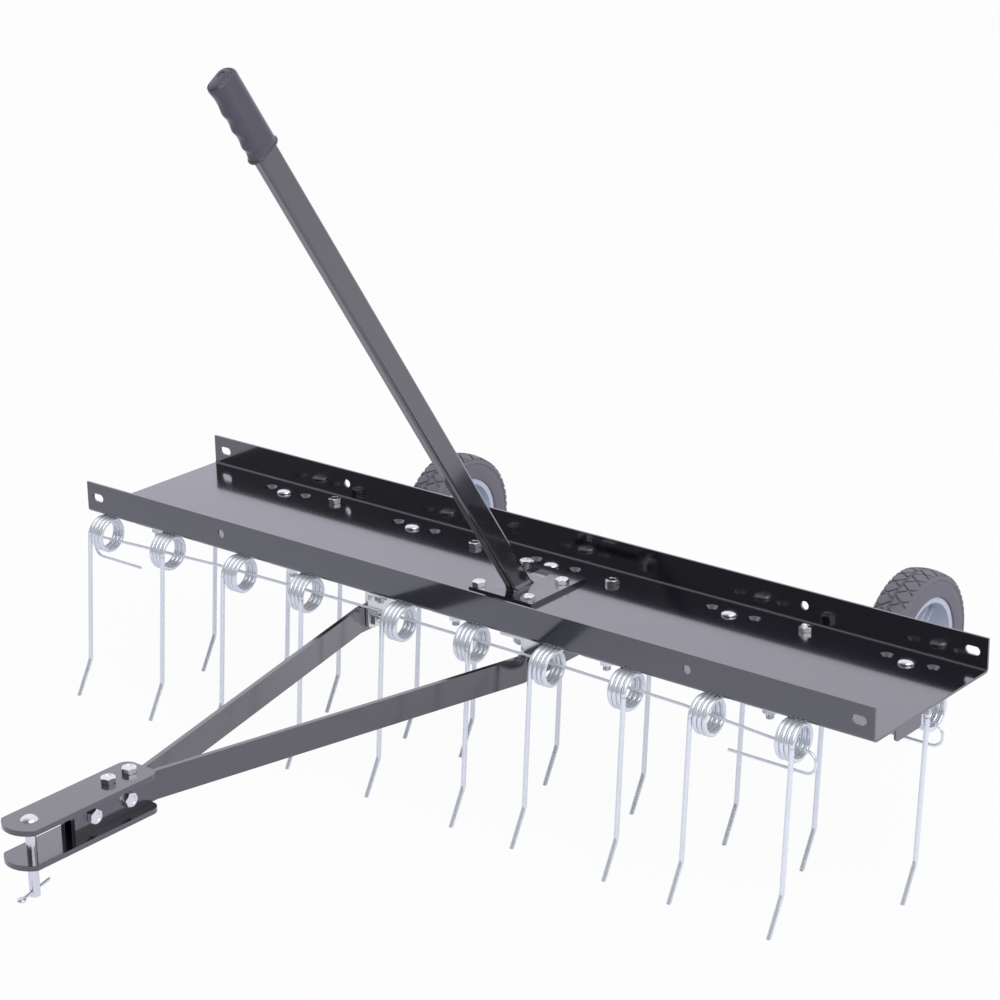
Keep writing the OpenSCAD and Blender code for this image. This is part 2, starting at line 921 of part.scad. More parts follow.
// Clamp plates: flat under the wire, with a heel turned up to the floor in front
module tine_clamps(xs, y) {
    color(zinc)
        for (x = xs)
            translate([x, y, clamp_z])
                difference() {
                    translate([-clamp_w / 2, -clamp_heel, -clamp_t]) {
                        linear_extrude(clamp_t)
                            rounded(clamp_w, clamp_heel + clamp_back, clamp_corner);
                        translate([clamp_corner, 0, 0])
                            cube([clamp_w - 2 * clamp_corner, clamp_t, clamp_t - clamp_z]);
                    }
                    translate([0, 0, -clamp_t - past])
                        cylinder(r = tine_bolt_d / 2 + hole_gap, h = clamp_t + 2 * past);
                }
}

module tine_nuts(xs, y) {
    color(zinc)
        for (x = xs)
            translate([x, y, clamp_z - clamp_t])
                hex_nut(tine_bolt_d, tine_nut_w, tine_nut_h);
}

// Retaining rods: thin wire through all the coils of a row, hooked back at both ends
function reversed(p) = [for (i = [len(p) - 1:-1:0]) p[i]];

// Hooked end on side s: a half turn downwards, then a leg back towards the middle
function hook_line(s, x, z, leg) = concat(
    [for (i = [0:hook_steps]) let (a = 90 - i * 180 / hook_steps)
        [s * (x + hook_r * cos(a)), 0, z - hook_r + hook_r * sin(a)]],
    [[s * (x - leg), 0, z - 2 * hook_r]]);

// Middle line of a rod at height z, its outer bends and ends lower than its middle
function rod_line(z, sag, droop) = concat(
    reversed(hook_line(-1, rod_far - hook_r - rod_r, z - droop, hook_far)),
    [for (s = [-1, 1], i = [0, 1]) let (k = s < 0 ? 1 - i : i)
        [s * rod_bends[k], 0, z - sag * k]],
    hook_line(1, rod_near, z - droop, hook_near));

module bent_rod(z, sag = 0, droop = 0) {
    line = rod_line(z, sag, droop);
    color(zinc)
        polyhedron(tube_rings(line, rod_r, rod_sides, [0, 1, 0]),
            tube_faces(len(line), rod_sides), convexity = 6);
}

module front_rod() {
    translate([0, -front_coil_y, 0])
        bent_rod(rod_z, rod_sag, rod_droop);
}

module rear_rod() {
    translate([0, rear_coil_y, 0])
        rotate(180)
            bent_rod(rod_low);
}

// Wheel forks: a tongue bolted under the floor and two cheeks down to the axle
module fork() {
    reach = [axle_y - fork_y2, fork_drop - axle_z - fork_end_r];
    color(black_coat)
        difference() {
            union() {
                translate([wheel_x - fork_tongue_w / 2, fork_tongue_y, -fork_t])
                    cube([fork_tongue_w, fork_y1 - fork_tongue_y + fork_t, fork_t]);
                translate([wheel_x - fork_half, fork_y1, -fork_t])
                    cube([2 * fork_half, fork_y2 - fork_y1, fork_t]);
                for (s = [-1, 1])
                    translate([wheel_x + s * (fork_in + fork_t / 2) - fork_t / 2, 0, 0])
                        rotate([90, 0, 90])
                            linear_extrude(fork_t)
                                cheek();
            }
            floor_hole([[wheel_x, fork_bolt_y]], -fork_t, 0);
            rod_x(wheel_x - 2 * fork_half, axle_y, -axle_z, axle_d / 2 + run_gap, 4 * fork_half);
        }
}

// Cheek of a fork in y and z, round about the axle
module cheek() {
    run = axle_y - fork_y1;
    fall = axle_z - fork_end_r;
    slope = atan(fall / run);
    length = norm([run, fall]);
    translate([fork_y1, -fork_drop])
        square([fork_y2 - fork_y1, fork_drop]);
    translate([axle_y, -axle_z])
        circle(r = fork_end_r);
    intersection() {
        translate([axle_y, -axle_z])
            rotate(180 - slope)
                translate([0, -fork_end_r])
                    square([length, 2 * fork_end_r]);
        translate([fork_y1, -axle_z - 2 * fork_end_r])
            square([run + fork_end_r, axle_z + 2 * fork_end_r]);
    }
}

module fork_bolts() {
    color(zinc)
        both_wheels()
            translate([wheel_x, fork_bolt_y, sheet_t])
                hex_bolt(m8_d, sheet_t + fork_t + m8_nut_h + thread_out, m8_head_w, m8_head_h);
}

module fork_nuts() {
    color(zinc)
        both_wheels()
            translate([wheel_x, fork_bolt_y, -fork_t])
                hex_nut(m8_d, m8_head_w, m8_nut_h);
}

module axle() {
    color(zinc)
        translate([wheel_x + fork_half, axle_y, -axle_z])
            rotate([0, 90, 0])
                hex_bolt(axle_d, 2 * fork_half + axle_nut_h + thread_out, axle_head_w, axle_head_h);
}

module axle_nuts() {
    color(zinc)
        both_wheels()
            translate([wheel_x - fork_half, axle_y, -axle_z])
                rotate([0, 90, 0])
                    hex_nut(axle_d, axle_head_w, axle_nut_h);
}

// Turns a shape drawn round z so that z lies along the axle
module on_axle() {
    translate([wheel_x, axle_y, -axle_z])
        rotate([0, 90, 0])
            children();
}

// Rim: a moulded band with a web of spokes and a hub
module rim() {
    color(rim_blue)
        on_axle()
            difference() {
                union() {
                    rotate_extrude()
                        rim_section();
                    for (i = [0:spokes - 1])
                        rotate(i * 360 / spokes)
                            spoke();
                    translate([0, 0, -hub_l / 2])
                        cylinder(r = hub_r, h = hub_l);
                }
                translate([0, 0, -hub_l])
                    cylinder(r = axle_d / 2 + run_gap, h = 2 * hub_l);
            }
}

// Band with a lip at each side, where the tyre seats
module rim_section() {
    difference() {
        translate([rim_r - rim_band - rim_groove, -rim_w / 2])
            square([rim_band + rim_groove, rim_w]);
        translate([rim_r, 0])
            square([2 * rim_groove, rim_w - 2 * rim_lip], center = true);
    }
}

// Spoke: a flat web with a rib on each edge
module spoke() {
    start = hub_r - 2;
    length = rim_r - rim_band - start;
    translate([start, -spoke_w / 2, -spoke_rib])
        cube([length, spoke_w, 2 * spoke_rib]);
    for (s = [-1, 1])
        translate([start, s * (spoke_w - spoke_rib) / 2 - spoke_rib / 2, -rim_w / 3])
            cube([length, spoke_rib, rim_w * 2 / 3]);
}

// Tyre: solid rubber with a crowned tread, cut into diamonds on both halves
module tyre() {
    color(rubber)
        on_axle()
            difference() {
                rotate_extrude($fn = 128)
                    tyre_section();
                for (i = [0:blocks - 1], side = [-1, 1], slant = [-1, 1])
                    rotate((i + (side + 1) / 4) * 360 / blocks)
                        tread_groove(side, slant);
            }
}

module tyre_section() {
    seat = rim_r + run_gap;
    bead_w = rim_w - 2 * rim_lip - 2 * run_gap;
    translate([seat - rim_groove, -bead_w / 2])
        square([rim_groove + past, bead_w]);
    intersection() {
        difference() {
            translate([seat, -tyre_w / 2])
                square([tyre_r - seat, tyre_w]);
            for (s = [-1, 1])
                translate([tyre_r - crown_drop, s * tyre_w / 2])
                    rotate(45)
                        square(shoulder, center = true);
        }
        translate([tyre_r - crown_r, 0])
            circle(r = crown_r, $fn = 180);
    }
}

// Groove on one half, tangent to the crown at its middle; a thin rib stays between the halves
module tread_groove(side, slant) {
    middle = (groove_start + tyre_w / 2) / 2;
    length = (tyre_w / 2 - groove_start) / cos(tread_slant);
    tilt = asin(middle / crown_r);
    translate([tyre_r - crown_r, 0, 0])
        rotate([0, -side * tilt, 0])
            translate([crown_r, 0, 0])
                rotate([slant * tread_slant, 0, 0])
                    translate([-tread_d, -groove_w / 2, -length / 2])
                        cube([2 * tread_d, groove_w, length]);
}

placed() tray();
placed() handle();
placed() grip();
placed() handle_bolts();
placed() mirror([1, 0, 0]) pivot_bracket();  // pivot_bracket_left
placed() pivot_bracket();  // pivot_bracket_right
placed() bracket_bolts();
placed() bracket_nuts();
placed() left_and_right() pivot_bolt();  // pivot_bolts
placed() left_and_right() pivot_nut();  // pivot_nuts
placed() mirror([1, 0, 0]) arm();  // arm_left
placed() arm();  // arm_right
placed() hitch_plate(arm_top);  // hitch_plate_upper
placed() hitch_plate(arm_low - hitch_t);  // hitch_plate_lower
placed() hitch_bolts();
placed() hitch_nuts();
placed() hitch_pin();
placed() split_pin();
placed() front_rod();
placed() rear_rod();
placed() tine(front_x[0], -front_coil_y);  // front_tine_1
placed() tine(front_x[1], -front_coil_y);  // front_tine_2
placed() tine(front_x[2], -front_coil_y);  // front_tine_3
placed() tine(front_x[3], -front_coil_y);  // front_tine_4
placed() tine(front_x[4], -front_coil_y);  // front_tine_5
placed() tine(rear_x[0], rear_coil_y);  // rear_tine_1
placed() tine(rear_x[1], rear_coil_y);  // rear_tine_2
placed() tine(rear_x[2], rear_coil_y);  // rear_tine_3
placed() tine(rear_x[3], rear_coil_y);  // rear_tine_4
placed() tine(rear_x[4], rear_coil_y);  // rear_tine_5
placed() tine_bolts(front_x, -bolt_y);  // tine_bolts_front
placed() tine_bolts(rear_x, bolt_y);  // tine_bolts_rear
placed() tine_clamps(front_x, -bolt_y);  // tine_clamps_front
placed() tine_clamps(rear_x, bolt_y);  // tine_clamps_rear
placed() tine_nuts(front_x, -bolt_y);  // tine_nuts_front
placed() tine_nuts(rear_x, bolt_y);  // tine_nuts_rear
placed() left_wheel() fork();  // fork_left
placed() right_wheel() fork();  // fork_right
placed() fork_bolts();
placed() fork_nuts();
placed() left_wheel() axle();  // axle_left
placed() right_wheel() axle();  // axle_right
placed() axle_nuts();
placed() left_wheel() rim();  // rim_left
placed() right_wheel() rim();  // rim_right
placed() left_wheel() tyre();  // tyre_left
placed() right_wheel() tyre();  // tyre_right
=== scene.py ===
import math

import bmesh
import bpy
import numpy as np
from mathutils import Euler, Matrix, Vector


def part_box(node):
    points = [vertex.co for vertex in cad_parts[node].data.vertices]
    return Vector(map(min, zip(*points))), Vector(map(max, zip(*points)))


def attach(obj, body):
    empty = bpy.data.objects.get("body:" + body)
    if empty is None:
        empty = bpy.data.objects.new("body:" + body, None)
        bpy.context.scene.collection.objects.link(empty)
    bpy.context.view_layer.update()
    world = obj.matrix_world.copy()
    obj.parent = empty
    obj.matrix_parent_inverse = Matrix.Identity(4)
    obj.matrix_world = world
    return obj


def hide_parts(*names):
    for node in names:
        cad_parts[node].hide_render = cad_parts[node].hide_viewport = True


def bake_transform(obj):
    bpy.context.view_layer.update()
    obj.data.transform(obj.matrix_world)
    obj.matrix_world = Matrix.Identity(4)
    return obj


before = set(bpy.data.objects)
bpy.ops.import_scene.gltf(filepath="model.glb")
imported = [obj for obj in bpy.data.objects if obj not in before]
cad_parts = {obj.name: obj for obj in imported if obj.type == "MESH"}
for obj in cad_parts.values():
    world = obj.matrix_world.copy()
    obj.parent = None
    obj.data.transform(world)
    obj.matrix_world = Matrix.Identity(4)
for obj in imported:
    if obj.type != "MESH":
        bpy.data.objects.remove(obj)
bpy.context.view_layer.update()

# Tray: one sheet of 2.5 mm steel, punched, pressed with a pair of cones beside every tine bolt
# and folded into a channel, with a tab turned down at each end; powder coated in gloss black.


def ranged(nodes, low, high, to_low, to_high):
    """A Map Range node that takes low to to_low and high to to_high."""
    made = nodes.new("ShaderNodeMapRange")
    for label, value in zip(("From Min", "From Max", "To Min", "To Max"),
                            (low, high, to_low, to_high)):
        made.inputs[label].default_value = value
    return made


# The sockets of a Mix node that hold its two colours and give the mix, by number, because their
# names are also those of its sockets for plain values.
colour_a, colour_b, colour_out = 6, 7, 2


def surface(name, base, roughness, metallic=0.0, shift=0.12, cloud=30.0, grain=700.0,
            relief=0.00002, **sockets):
    """A finish with uneven tone and roughness and a fine relief, all from object coordinates."""
    look = bpy.data.materials.new(name)
    look.use_nodes = True
    nodes, links = look.node_tree.nodes, look.node_tree.links
    shader = nodes["Principled BSDF"]
    place = nodes.new("ShaderNodeTexCoord")
    broad = nodes.new("ShaderNodeTexNoise")
    broad.inputs["Scale"].default_value = cloud
    broad.inputs["Detail"].default_value = 5
    links.new(place.outputs["Object"], broad.inputs["Vector"])
    tone = nodes.new("ShaderNodeMix")
    tone.data_type = "RGBA"
    links.new(broad.outputs["Fac"], tone.inputs["Factor"])
    tone.inputs[colour_a].default_value = (*[c * (1 - shift) for c in base], 1)
    tone.inputs[colour_b].default_value = (*[c * (1 + shift) for c in base], 1)
    links.new(tone.outputs[colour_out], shader.inputs["Base Color"])
    usual_low, usual_high = 0.3, 0.7
    gloss = ranged(nodes, usual_low, usual_high, roughness * 0.85, roughness * 1.2)
    links.new(broad.outputs["Fac"], gloss.inputs["Value"])
    links.new(gloss.outputs["Result"], shader.inputs["Roughness"])
    fine = nodes.new("ShaderNodeTexNoise")
    fine.inputs["Scale"].default_value = grain
    fine.inputs["Detail"].default_value = 2
    links.new(place.outputs["Object"], fine.inputs["Vector"])
    bump = nodes.new("ShaderNodeBump")
    bump.inputs["Distance"].default_value = relief
    links.new(fine.outputs["Fac"], bump.inputs["Height"])
    links.new(bump.outputs["Normal"], shader.inputs["Normal"])
    shader.inputs["Metallic"].default_value = metallic
    for label, value in sockets.items():
        shader.inputs[label.replace("_", " ")].default_value = value
    return look


def shown(name, mesh, look, sharp=30):
    """A new plain object with its edges sharper than that angle kept sharp."""
    mesh.name = name
    mesh.materials.clear()
    mesh.materials.append(look)
    mesh.shade_smooth()
    mesh.set_sharp_from_angle(angle=math.radians(sharp))
    made = bpy.data.objects.new(name, mesh)
    bpy.context.scene.collection.objects.link(made)
    return made


def baked(source):
    """The mesh that an object's modifiers make; the object itself goes."""
    graph = bpy.context.evaluated_depsgraph_get()
    mesh = bpy.data.meshes.new_from_object(source.evaluated_get(graph), depsgraph=graph)
    bpy.data.objects.remove(source)
    return mesh


def broken_edges(name, node, edge, look):
    """A CAD node's own shape, its flat faces made whole and its sharp edges broken by so much."""
    same_point, flat, sharp = 2e-6, math.radians(0.5), math.radians(35)
    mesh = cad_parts[node].data.copy()
    bm = bmesh.new()
    bm.from_mesh(mesh)
    bmesh.ops.remove_doubles(bm, verts=bm.verts, dist=same_point)
    bmesh.ops.dissolve_limit(bm, angle_limit=flat, verts=bm.verts, edges=bm.edges)
    bm.to_mesh(mesh)
    bm.free()
    mesh.shade_smooth()
    source = bpy.data.objects.new(name, mesh)
    bpy.context.scene.collection.objects.link(source)
    bevel = source.modifiers.new("broken", "BEVEL")
    bevel.width = edge
    bevel.segments = 2
    bevel.limit_method = "ANGLE"
    bevel.angle_limit = sharp
    bevel.use_clamp_overlap = True
    even = source.modifiers.new("even", "WEIGHTED_NORMAL")
    even.keep_sharp = True
    made = baked(source)
    made.name = name
    made.materials.clear()
    made.materials.append(look)
    piece = bpy.data.objects.new(name, made)
    bpy.context.scene.collection.objects.link(piece)
    return piece


def fitted(piece, body, slot, *nodes):
    """The piece rides on its body and stands for its CAD nodes."""
    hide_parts(*nodes)
    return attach(piece, body)


gloss_black = surface("gloss_black_coat", (0.005, 0.0052, 0.009), 0.16, shift=0.25, cloud=9,
                      grain=420, relief=0.000008, Specular_IOR_Level=0.7, Coat_Weight=1.0,
                      Coat_Roughness=0.09, Coat_IOR=1.9)
fitted(broken_edges("tray_sheet", "tray", edge=0.0004, look=gloss_black), "root", "coat", "tray")

# Every place below is measured in millimetres from the middle of the underside of the tray's
# floor, as it would be on the drawing of the machine.
floor_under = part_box("pivot_bracket_left")[1].z
tray_middle = (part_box("tray")[0].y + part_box("tray")[1].y) / 2
sheet_t = 2.5


def laid(points):
    """Millimetres on the drawing to metres in the row's frame."""
    return np.asarray(points, float) / 1000 + [0, tray_middle, floor_under]


# Pivot brackets: two angles bent from 4 mm steel strip, zinc plated, bolted under the floor, each
# with an ear down on its outer side. The bolts are M8 and M10, forged, with rolled threads.


def turned(rows, columns=48, closed=False):
    """Mesh of rows of (radius, height) turned about z; a radius may be one for each column."""
    turn = np.arange(columns) * 2 * math.pi / columns
    points = np.concatenate([
        np.stack([np.broadcast_to(r, columns) * np.cos(turn),
                  np.broadcast_to(r, columns) * np.sin(turn),
                  np.broadcast_to(h, columns)], 1) for r, h in rows])
    count = len(rows)
    faces = [(i * columns + c, i * columns + (c + 1) % columns,
              (i + 1) % count * columns + (c + 1) % columns, (i + 1) % count * columns + c)
             for i in range(count if closed else count - 1) for c in range(columns)]
    if not closed:
        faces.append(tuple(range(columns - 1, -1, -1)))
        faces.append(tuple(range((count - 1) * columns, count * columns)))
    return solid(points / 1000, faces)


def solid(points, faces):
    """Plain mesh of points in metres and faces."""
    mesh = bpy.data.meshes.new("solid")
    mesh.from_pydata([tuple(map(float, p)) for p in points], [], faces)
    mesh.update()
    return mesh


chamfer_share = 0.475


def hexagon(width, columns=48):
    """Radius of a hexagon at every column."""
    turn = np.arange(columns) * 2 * math.pi / columns
    return width / 2 / np.cos((turn + math.pi / 6) % (math.pi / 3) - math.pi / 6)


def hex_rows(width, low, high, chamfer_low):
    """Rows up the outside of a hexagon with 30 degree chamfers at one or both ends."""
    rim = width * chamfer_share
    corner = hexagon(width)
    fall = (corner - rim) * math.tan(math.radians(30))
    rows = [(rim, low), (corner, low + fall)] if chamfer_low else [(corner, low)]
    return rows + [(corner, high - fall), (rim, high)]


def thread_rows(d, pitch, low, high, columns=48):
    """Rows of a rolled thread of outside diameter d, six to a turn."""
    turn = np.arange(columns) / columns
    depth, play, flank, root = 0.6 * pitch, 0.05, 2.6, 0.15
    rows = []
    for z in np.arange(low, high, pitch / 6):
        phase = (z / pitch - turn) % 1
        crest = np.clip(abs(phase - 0.5) * flank - root, 0, 1)
        rows.append((d / 2 - play - depth * (1 - crest), z))
    return rows


def bolt(length, threaded, d, pitch, width, height):
    """Hexagon bolt, its bearing face at z = 0 and its head upwards, with a hollow in its top."""
    shank, face, washer = d / 2 - 0.1, width * chamfer_share, 0.4
    end, top = 0.5 - length, height + 0.02
    return turned(
        [(d / 2 - pitch * 0.7, -length)] + thread_rows(d, pitch, end, threaded - length)
        + [(shank, threaded - length), (shank, 0), (face, 0), (face, washer)]
        + hex_rows(width, washer, height, False)
        + [(face - 0.3, top), (width * 0.3, top), (width * 0.28, height - 0.25)])


def nut(d, width, height):
    """Hexagon nut, its bearing face at z = 0 and its body below, its bore countersunk."""
    bore, mouth, sink = d / 2 + 0.05, d / 2 + 0.6, 0.55
    return turned(hex_rows(width, -height, 0, True)
                  + [(mouth, 0), (bore, -sink), (bore, sink - height), (mouth, -height)],
                  closed=True)


def group(name, *sockets):
    """A geometry node group with these inputs and one geometry output."""
    tree = bpy.data.node_groups.new(name, "GeometryNodeTree")
    for label, kind in sockets:
        tree.interface.new_socket(label, in_out="INPUT", socket_type="NodeSocket" + kind)
    tree.interface.new_socket("Geometry", in_out="OUTPUT", socket_type="NodeSocketGeometry")
    return tree, tree.nodes.new("NodeGroupInput"), tree.nodes.new("NodeGroupOutput")


def grown(tree, seed, **values):
    """The mesh that a node group makes of a seed mesh; inputs are set by identifier."""
    source = bpy.data.objects.new("seed", seed)
    bpy.context.scene.collection.objects.link(source)
    modifier = source.modifiers.new("grown", "NODES")
    modifier.node_group = tree
    for item in tree.interface.items_tree:
        if item.in_out == "INPUT" and item.name in values:
            modifier[item.identifier] = values[item.name]
    return baked(source)


def ended(nodes, link, geometry, start, end, seam=None):
    """The end of a group: its instances made real, joined within the seam, and painted."""
    real = nodes.new("GeometryNodeRealizeInstances")
    link(geometry, real.inputs["Geometry"])
    made = real
    if seam:
        made = nodes.new("GeometryNodeMergeByDistance")
        made.inputs["Distance"].default_value = seam
        link(real.outputs["Geometry"], made.inputs["Geometry"])
    paint = nodes.new("GeometryNodeSetMaterial")
    link(made.outputs["Geometry"], paint.inputs["Geometry"])
    link(start.outputs["Look"], paint.inputs["Material"])
    link(paint.outputs["Geometry"], end.inputs["Geometry"])


# Group that sets a fastener at every point, along the point's own axis, each turned by chance.
fasten, start, end = group("fasteners", ("Geometry", "Geometry"), ("Fastener", "Object"),
                           ("Seed", "Int"), ("Look", "Material"))
nodes, link = fasten.nodes, fasten.links.new
axis = nodes.new("GeometryNodeInputNamedAttribute")
axis.data_type = "FLOAT_VECTOR"
axis.inputs["Name"].default_value = "axis"
align = nodes.new("FunctionNodeAlignRotationToVector")
align.axis = "Z"
link(axis.outputs["Attribute"], align.inputs["Vector"])
item = nodes.new("GeometryNodeObjectInfo")
item.inputs["As Instance"].default_value = True
link(start.outputs["Fastener"], item.inputs["Object"])
put = nodes.new("GeometryNodeInstanceOnPoints")
link(start.outputs["Geometry"], put.inputs["Points"])
link(item.outputs["Geometry"], put.inputs["Instance"])
link(align.outputs["Rotation"], put.inputs["Rotation"])
chance = nodes.new("FunctionNodeRandomValue")
largest_float, float_out = 3, 1
chance.inputs[largest_float].default_value = math.pi / 3
link(start.outputs["Seed"], chance.inputs["Seed"])
spin = nodes.new("FunctionNodeAxisAngleToRotation")
spin.inputs["Axis"].default_value = (0, 0, 1)
link(chance.outputs[float_out], spin.inputs["Angle"])
turned_copies = nodes.new("GeometryNodeRotateInstances")
link(put.outputs["Instances"], turned_copies.inputs["Instances"])
link(spin.outputs["Rotation"], turned_copies.inputs["Rotation"])
ended(nodes, link, turned_copies.outputs["Instances"], start, end)


def fasteners(name, mesh, places, look, seed, body, *nodes):
    """Copies of one fastener at places of (point on the drawing, axis)."""
    single = bpy.data.objects.new("single", mesh)
    bpy.context.scene.collection.objects.link(single)
    points = solid(laid([p for p, _ in places]), [])
    axes = points.attributes.new("axis", "FLOAT_VECTOR", "POINT")
    axes.data.foreach_set("vector", np.array([a for _, a in places], np.float32).ravel())
    made = grown(fasten, points, Fastener=single, Seed=seed, Look=look)
    bpy.data.objects.remove(single)
    return fitted(shown(name, made, look), body, "zinc", *nodes)


UP, RIGHT, LEFT = (0, 0, 1), (1, 0, 0), (-1, 0, 0)
bright_zinc = surface("bright_zinc_plate", (0.82, 0.83, 0.83), 0.16, 1.0, shift=0.06, cloud=160,
                      grain=1500, relief=0.00001)
bracket_zinc = surface("zinc_plated_strip", (0.85, 0.86, 0.84), 0.33, 1.0, shift=0.08, cloud=60,
                       grain=900, relief=0.00003)
m8 = {"d": 8, "pitch": 1.25, "width": 13, "height": 5.3}
m10 = {"d": 10, "pitch": 1.5, "width": 17, "height": 6.4}
m8_nut = {"d": 8, "width": 13, "height": 6.5}
m10_nut = {"d": 10, "width": 17, "height": 8}
for side in ("left", "right"):
    bracket = broken_edges("pivot_angle_" + side, "pivot_bracket_" + side, 0.0006, bracket_zinc)
    fitted(bracket, "root", "zinc", "pivot_bracket_" + side)
leg_x, leg_t = 91, 4
leg_places = [(s * leg_x, y) for s in (-1, 1) for y in (-86, 66)]
fasteners("angle_bolts", bolt(length=16, threaded=6, **m8),
          [((x, y, sheet_t), UP) for x, y in leg_places], bright_zinc, 3, "root", "bracket_bolts")
fasteners("angle_nuts", nut(**m8_nut), [((x, y, -leg_t), UP) for x, y in leg_places],
          bright_zinc, 4, "root", "bracket_nuts")
pivot_y, pivot_z, pivot_head_x, pivot_nut_x = -86, -31, 109.6, 100
fasteners("ear_bolts", bolt(length=20.9, threaded=8, **m10),
          [((pivot_head_x, pivot_y, pivot_z), RIGHT), ((-pivot_head_x, pivot_y, pivot_z), LEFT)],
          bright_zinc, 5, "root", "pivot_bolts")
fasteners("ear_nuts", nut(**m10_nut),
          [((pivot_nut_x, pivot_y, pivot_z), RIGHT), ((-pivot_nut_x, pivot_y, pivot_z), LEFT)],
          bright_zinc, 6, "root", "pivot_nuts")

# Spring tines: ten pairs, each one length of 5 mm zinc-plated spring wire wound into two coils of
# three and a quarter turns, the loop between them clamped under the floor. As a pair springs back
# its coils wind up.
wire_group, start, end = group("wire", ("Geometry", "Geometry"), ("Radius", "Float"),
                               ("Sides", "Int"), ("Look", "Material"))
nodes, link = wire_group.nodes, wire_group.links.new
curve = nodes.new("GeometryNodeMeshToCurve")
link(start.outputs["Geometry"], curve.inputs["Mesh"])
ring = nodes.new("GeometryNodeCurvePrimitiveCircle")
link(start.outputs["Sides"], ring.inputs["Resolution"])
link(start.outputs["Radius"], ring.inputs["Radius"])
tube = nodes.new("GeometryNodeCurveToMesh")
tube.inputs["Fill Caps"].default_value = True
link(curve.outputs["Curve"], tube.inputs["Curve"])
link(ring.outputs["Curve"], tube.inputs["Profile Curve"])
ended(nodes, link, tube.outputs["Mesh"], start, end)


def wire(name, line, radius, look, sides=14):
    """Wire of that radius in millimetres along a line on the drawing."""
    line = laid(line)
    path = bpy.data.meshes.new("path")
    path.from_pydata([tuple(p) for p in line], [(i, i + 1) for i in range(len(line) - 1)], [])
    made = grown(wire_group, path, Radius=radius / 1000, Sides=sides, Look=look)
    return shown(name, made, look, 50)


def bent(points, radius, steps=8):
    """The line through the points with its corners rounded to that radius."""
    points = [np.asarray(p, float) for p in points]
    line = [points[0]]
    for a, b, c in zip(points, points[1:], points[2:]):
        u, v = (a - b) / np.linalg.norm(a - b), (c - b) / np.linalg.norm(c - b)
        half = math.acos(np.clip(u @ v, -1, 1)) / 2
        reach = min(radius / math.tan(half), np.linalg.norm(a - b) / 2, np.linalg.norm(c - b) / 2)
        for t in np.linspace(0, 1, steps + 1):
            line.append(b + reach * ((1 - t) ** 2 * u + t ** 2 * v))
    return np.array(line + [points[-1]])


spring_wire = surface("zinc_plated_spring_wire", (0.82, 0.86, 0.88), 0.2, 0.62, shift=0.1,
                      cloud=220, grain=1800, relief=0.000012)
coil_in, coil_r, coil_pitch, coil_turns, coil_z = 38.625, 17.5, 5.5, 3.25, -20.3
spring_r, loop_y, loop_bend, finger_bend = 2.5, 49.5, 7.5, 16
finger_x, finger_knee, finger_tip = 56.5, (56.5, -29, -142.7), (56.5, -49.6, -180.6)
angles = np.linspace(0, coil_turns * 2 * math.pi, 157)
coil = np.stack([coil_in + coil_pitch * angles / (2 * math.pi), -coil_r * np.sin(angles),
                 coil_r * np.cos(angles)], 1)
loop = bent([(0, loop_y, coil_r), (coil_in, loop_y, coil_r), coil[0]], loop_bend)
finger = bent([coil[-1], finger_knee, finger_tip], finger_bend)
finger[:, 0] = finger_x
run_out = bent([coil[-2], coil[-1], finger[1]], 20, 4)
half_pair = np.concatenate([loop, coil[1:], run_out[1:], finger[1:]])
tine_rows = {"front": (-101, [-432.9, -229.2, -5, 186, 375.8]),
             "rear": (32, [-370.8, -181, 10, 234.2, 437.9])}
for row, (coil_y, bolts_x) in tine_rows.items():
    for number, bolt_x in enumerate(bolts_x, 1):
        node = f"{row}_tine_{number}"
        for side, s in (("left", -1), ("right", 1)):
            half = wire(f"{node}_{side}", half_pair * [s, 1, 1] + [bolt_x, coil_y, coil_z],
                        spring_r, spring_wire, sides=16)
            for v in half.data.vertices:  # the cut end of the finger stands flat on the ground
                v.co.z = max(v.co.z, 0)
            if s < 0:
                half.data.flip_normals()
            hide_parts(node)
            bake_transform(half)

# Tine clamps: 2 mm plates under the wire loops, pressed from zinc-plated steel with their heels
# turned up to the floor, each drawn up by an M8 cup-headed bolt from above with a nut below.
cup_r, cup_rim, cup_high, cup_long, cup_plain, cup_shank = 8.8, 0.8, 3.6, 25, 9, 3.9
dome = [(0.2 + (cup_r - 0.2) * math.cos(a), cup_rim + cup_high * math.sin(a))
        for a in np.radians(np.linspace(0, 90, 9))]
clamp_y, clamp_under = 69.5, -7.6
for row, bolt_y in (("front", -clamp_y), ("rear", clamp_y)):
    plates = broken_edges(f"{row}_clamp_plates", "tine_clamps_" + row, 0.0004, bracket_zinc)
    fitted(plates, "root", "zinc", "tine_clamps_" + row)
    cup = turned([(3.1, -cup_long)]
                 + thread_rows(m8["d"], m8["pitch"], 0.4 - cup_long, -cup_plain)
                 + [(cup_shank, -cup_plain), (cup_shank, 0), (cup_r - 0.3, 0), (cup_r, 0.3)]
                 + dome)
    bolts_x = tine_rows[row][1]
    fasteners(row + "_cup_bolts", cup, [((x, bolt_y, sheet_t), UP) for x in bolts_x],
              bright_zinc, 11, "root", "tine_bolts_" + row)
    fasteners(row + "_cup_nuts", nut(d=8, width=13, height=9),
              [((x, bolt_y, clamp_under), UP) for x in bolts_x], bright_zinc, 12, "root",
              "tine_nuts_" + row)

# Retaining rods: 3 mm wire threaded through all the coils of a row and hooked back at both ends.
# The front one lies on the arms of the drawbar and falls away from them to both sides.


hook_r, rod_r = 11.5, 1.5
long_end, short_end, long_leg, short_leg = 490, 436, 60, 85
front_end_z, arm_z, sag_z, rear_z = -26.4, -15.4, -18, -31.8


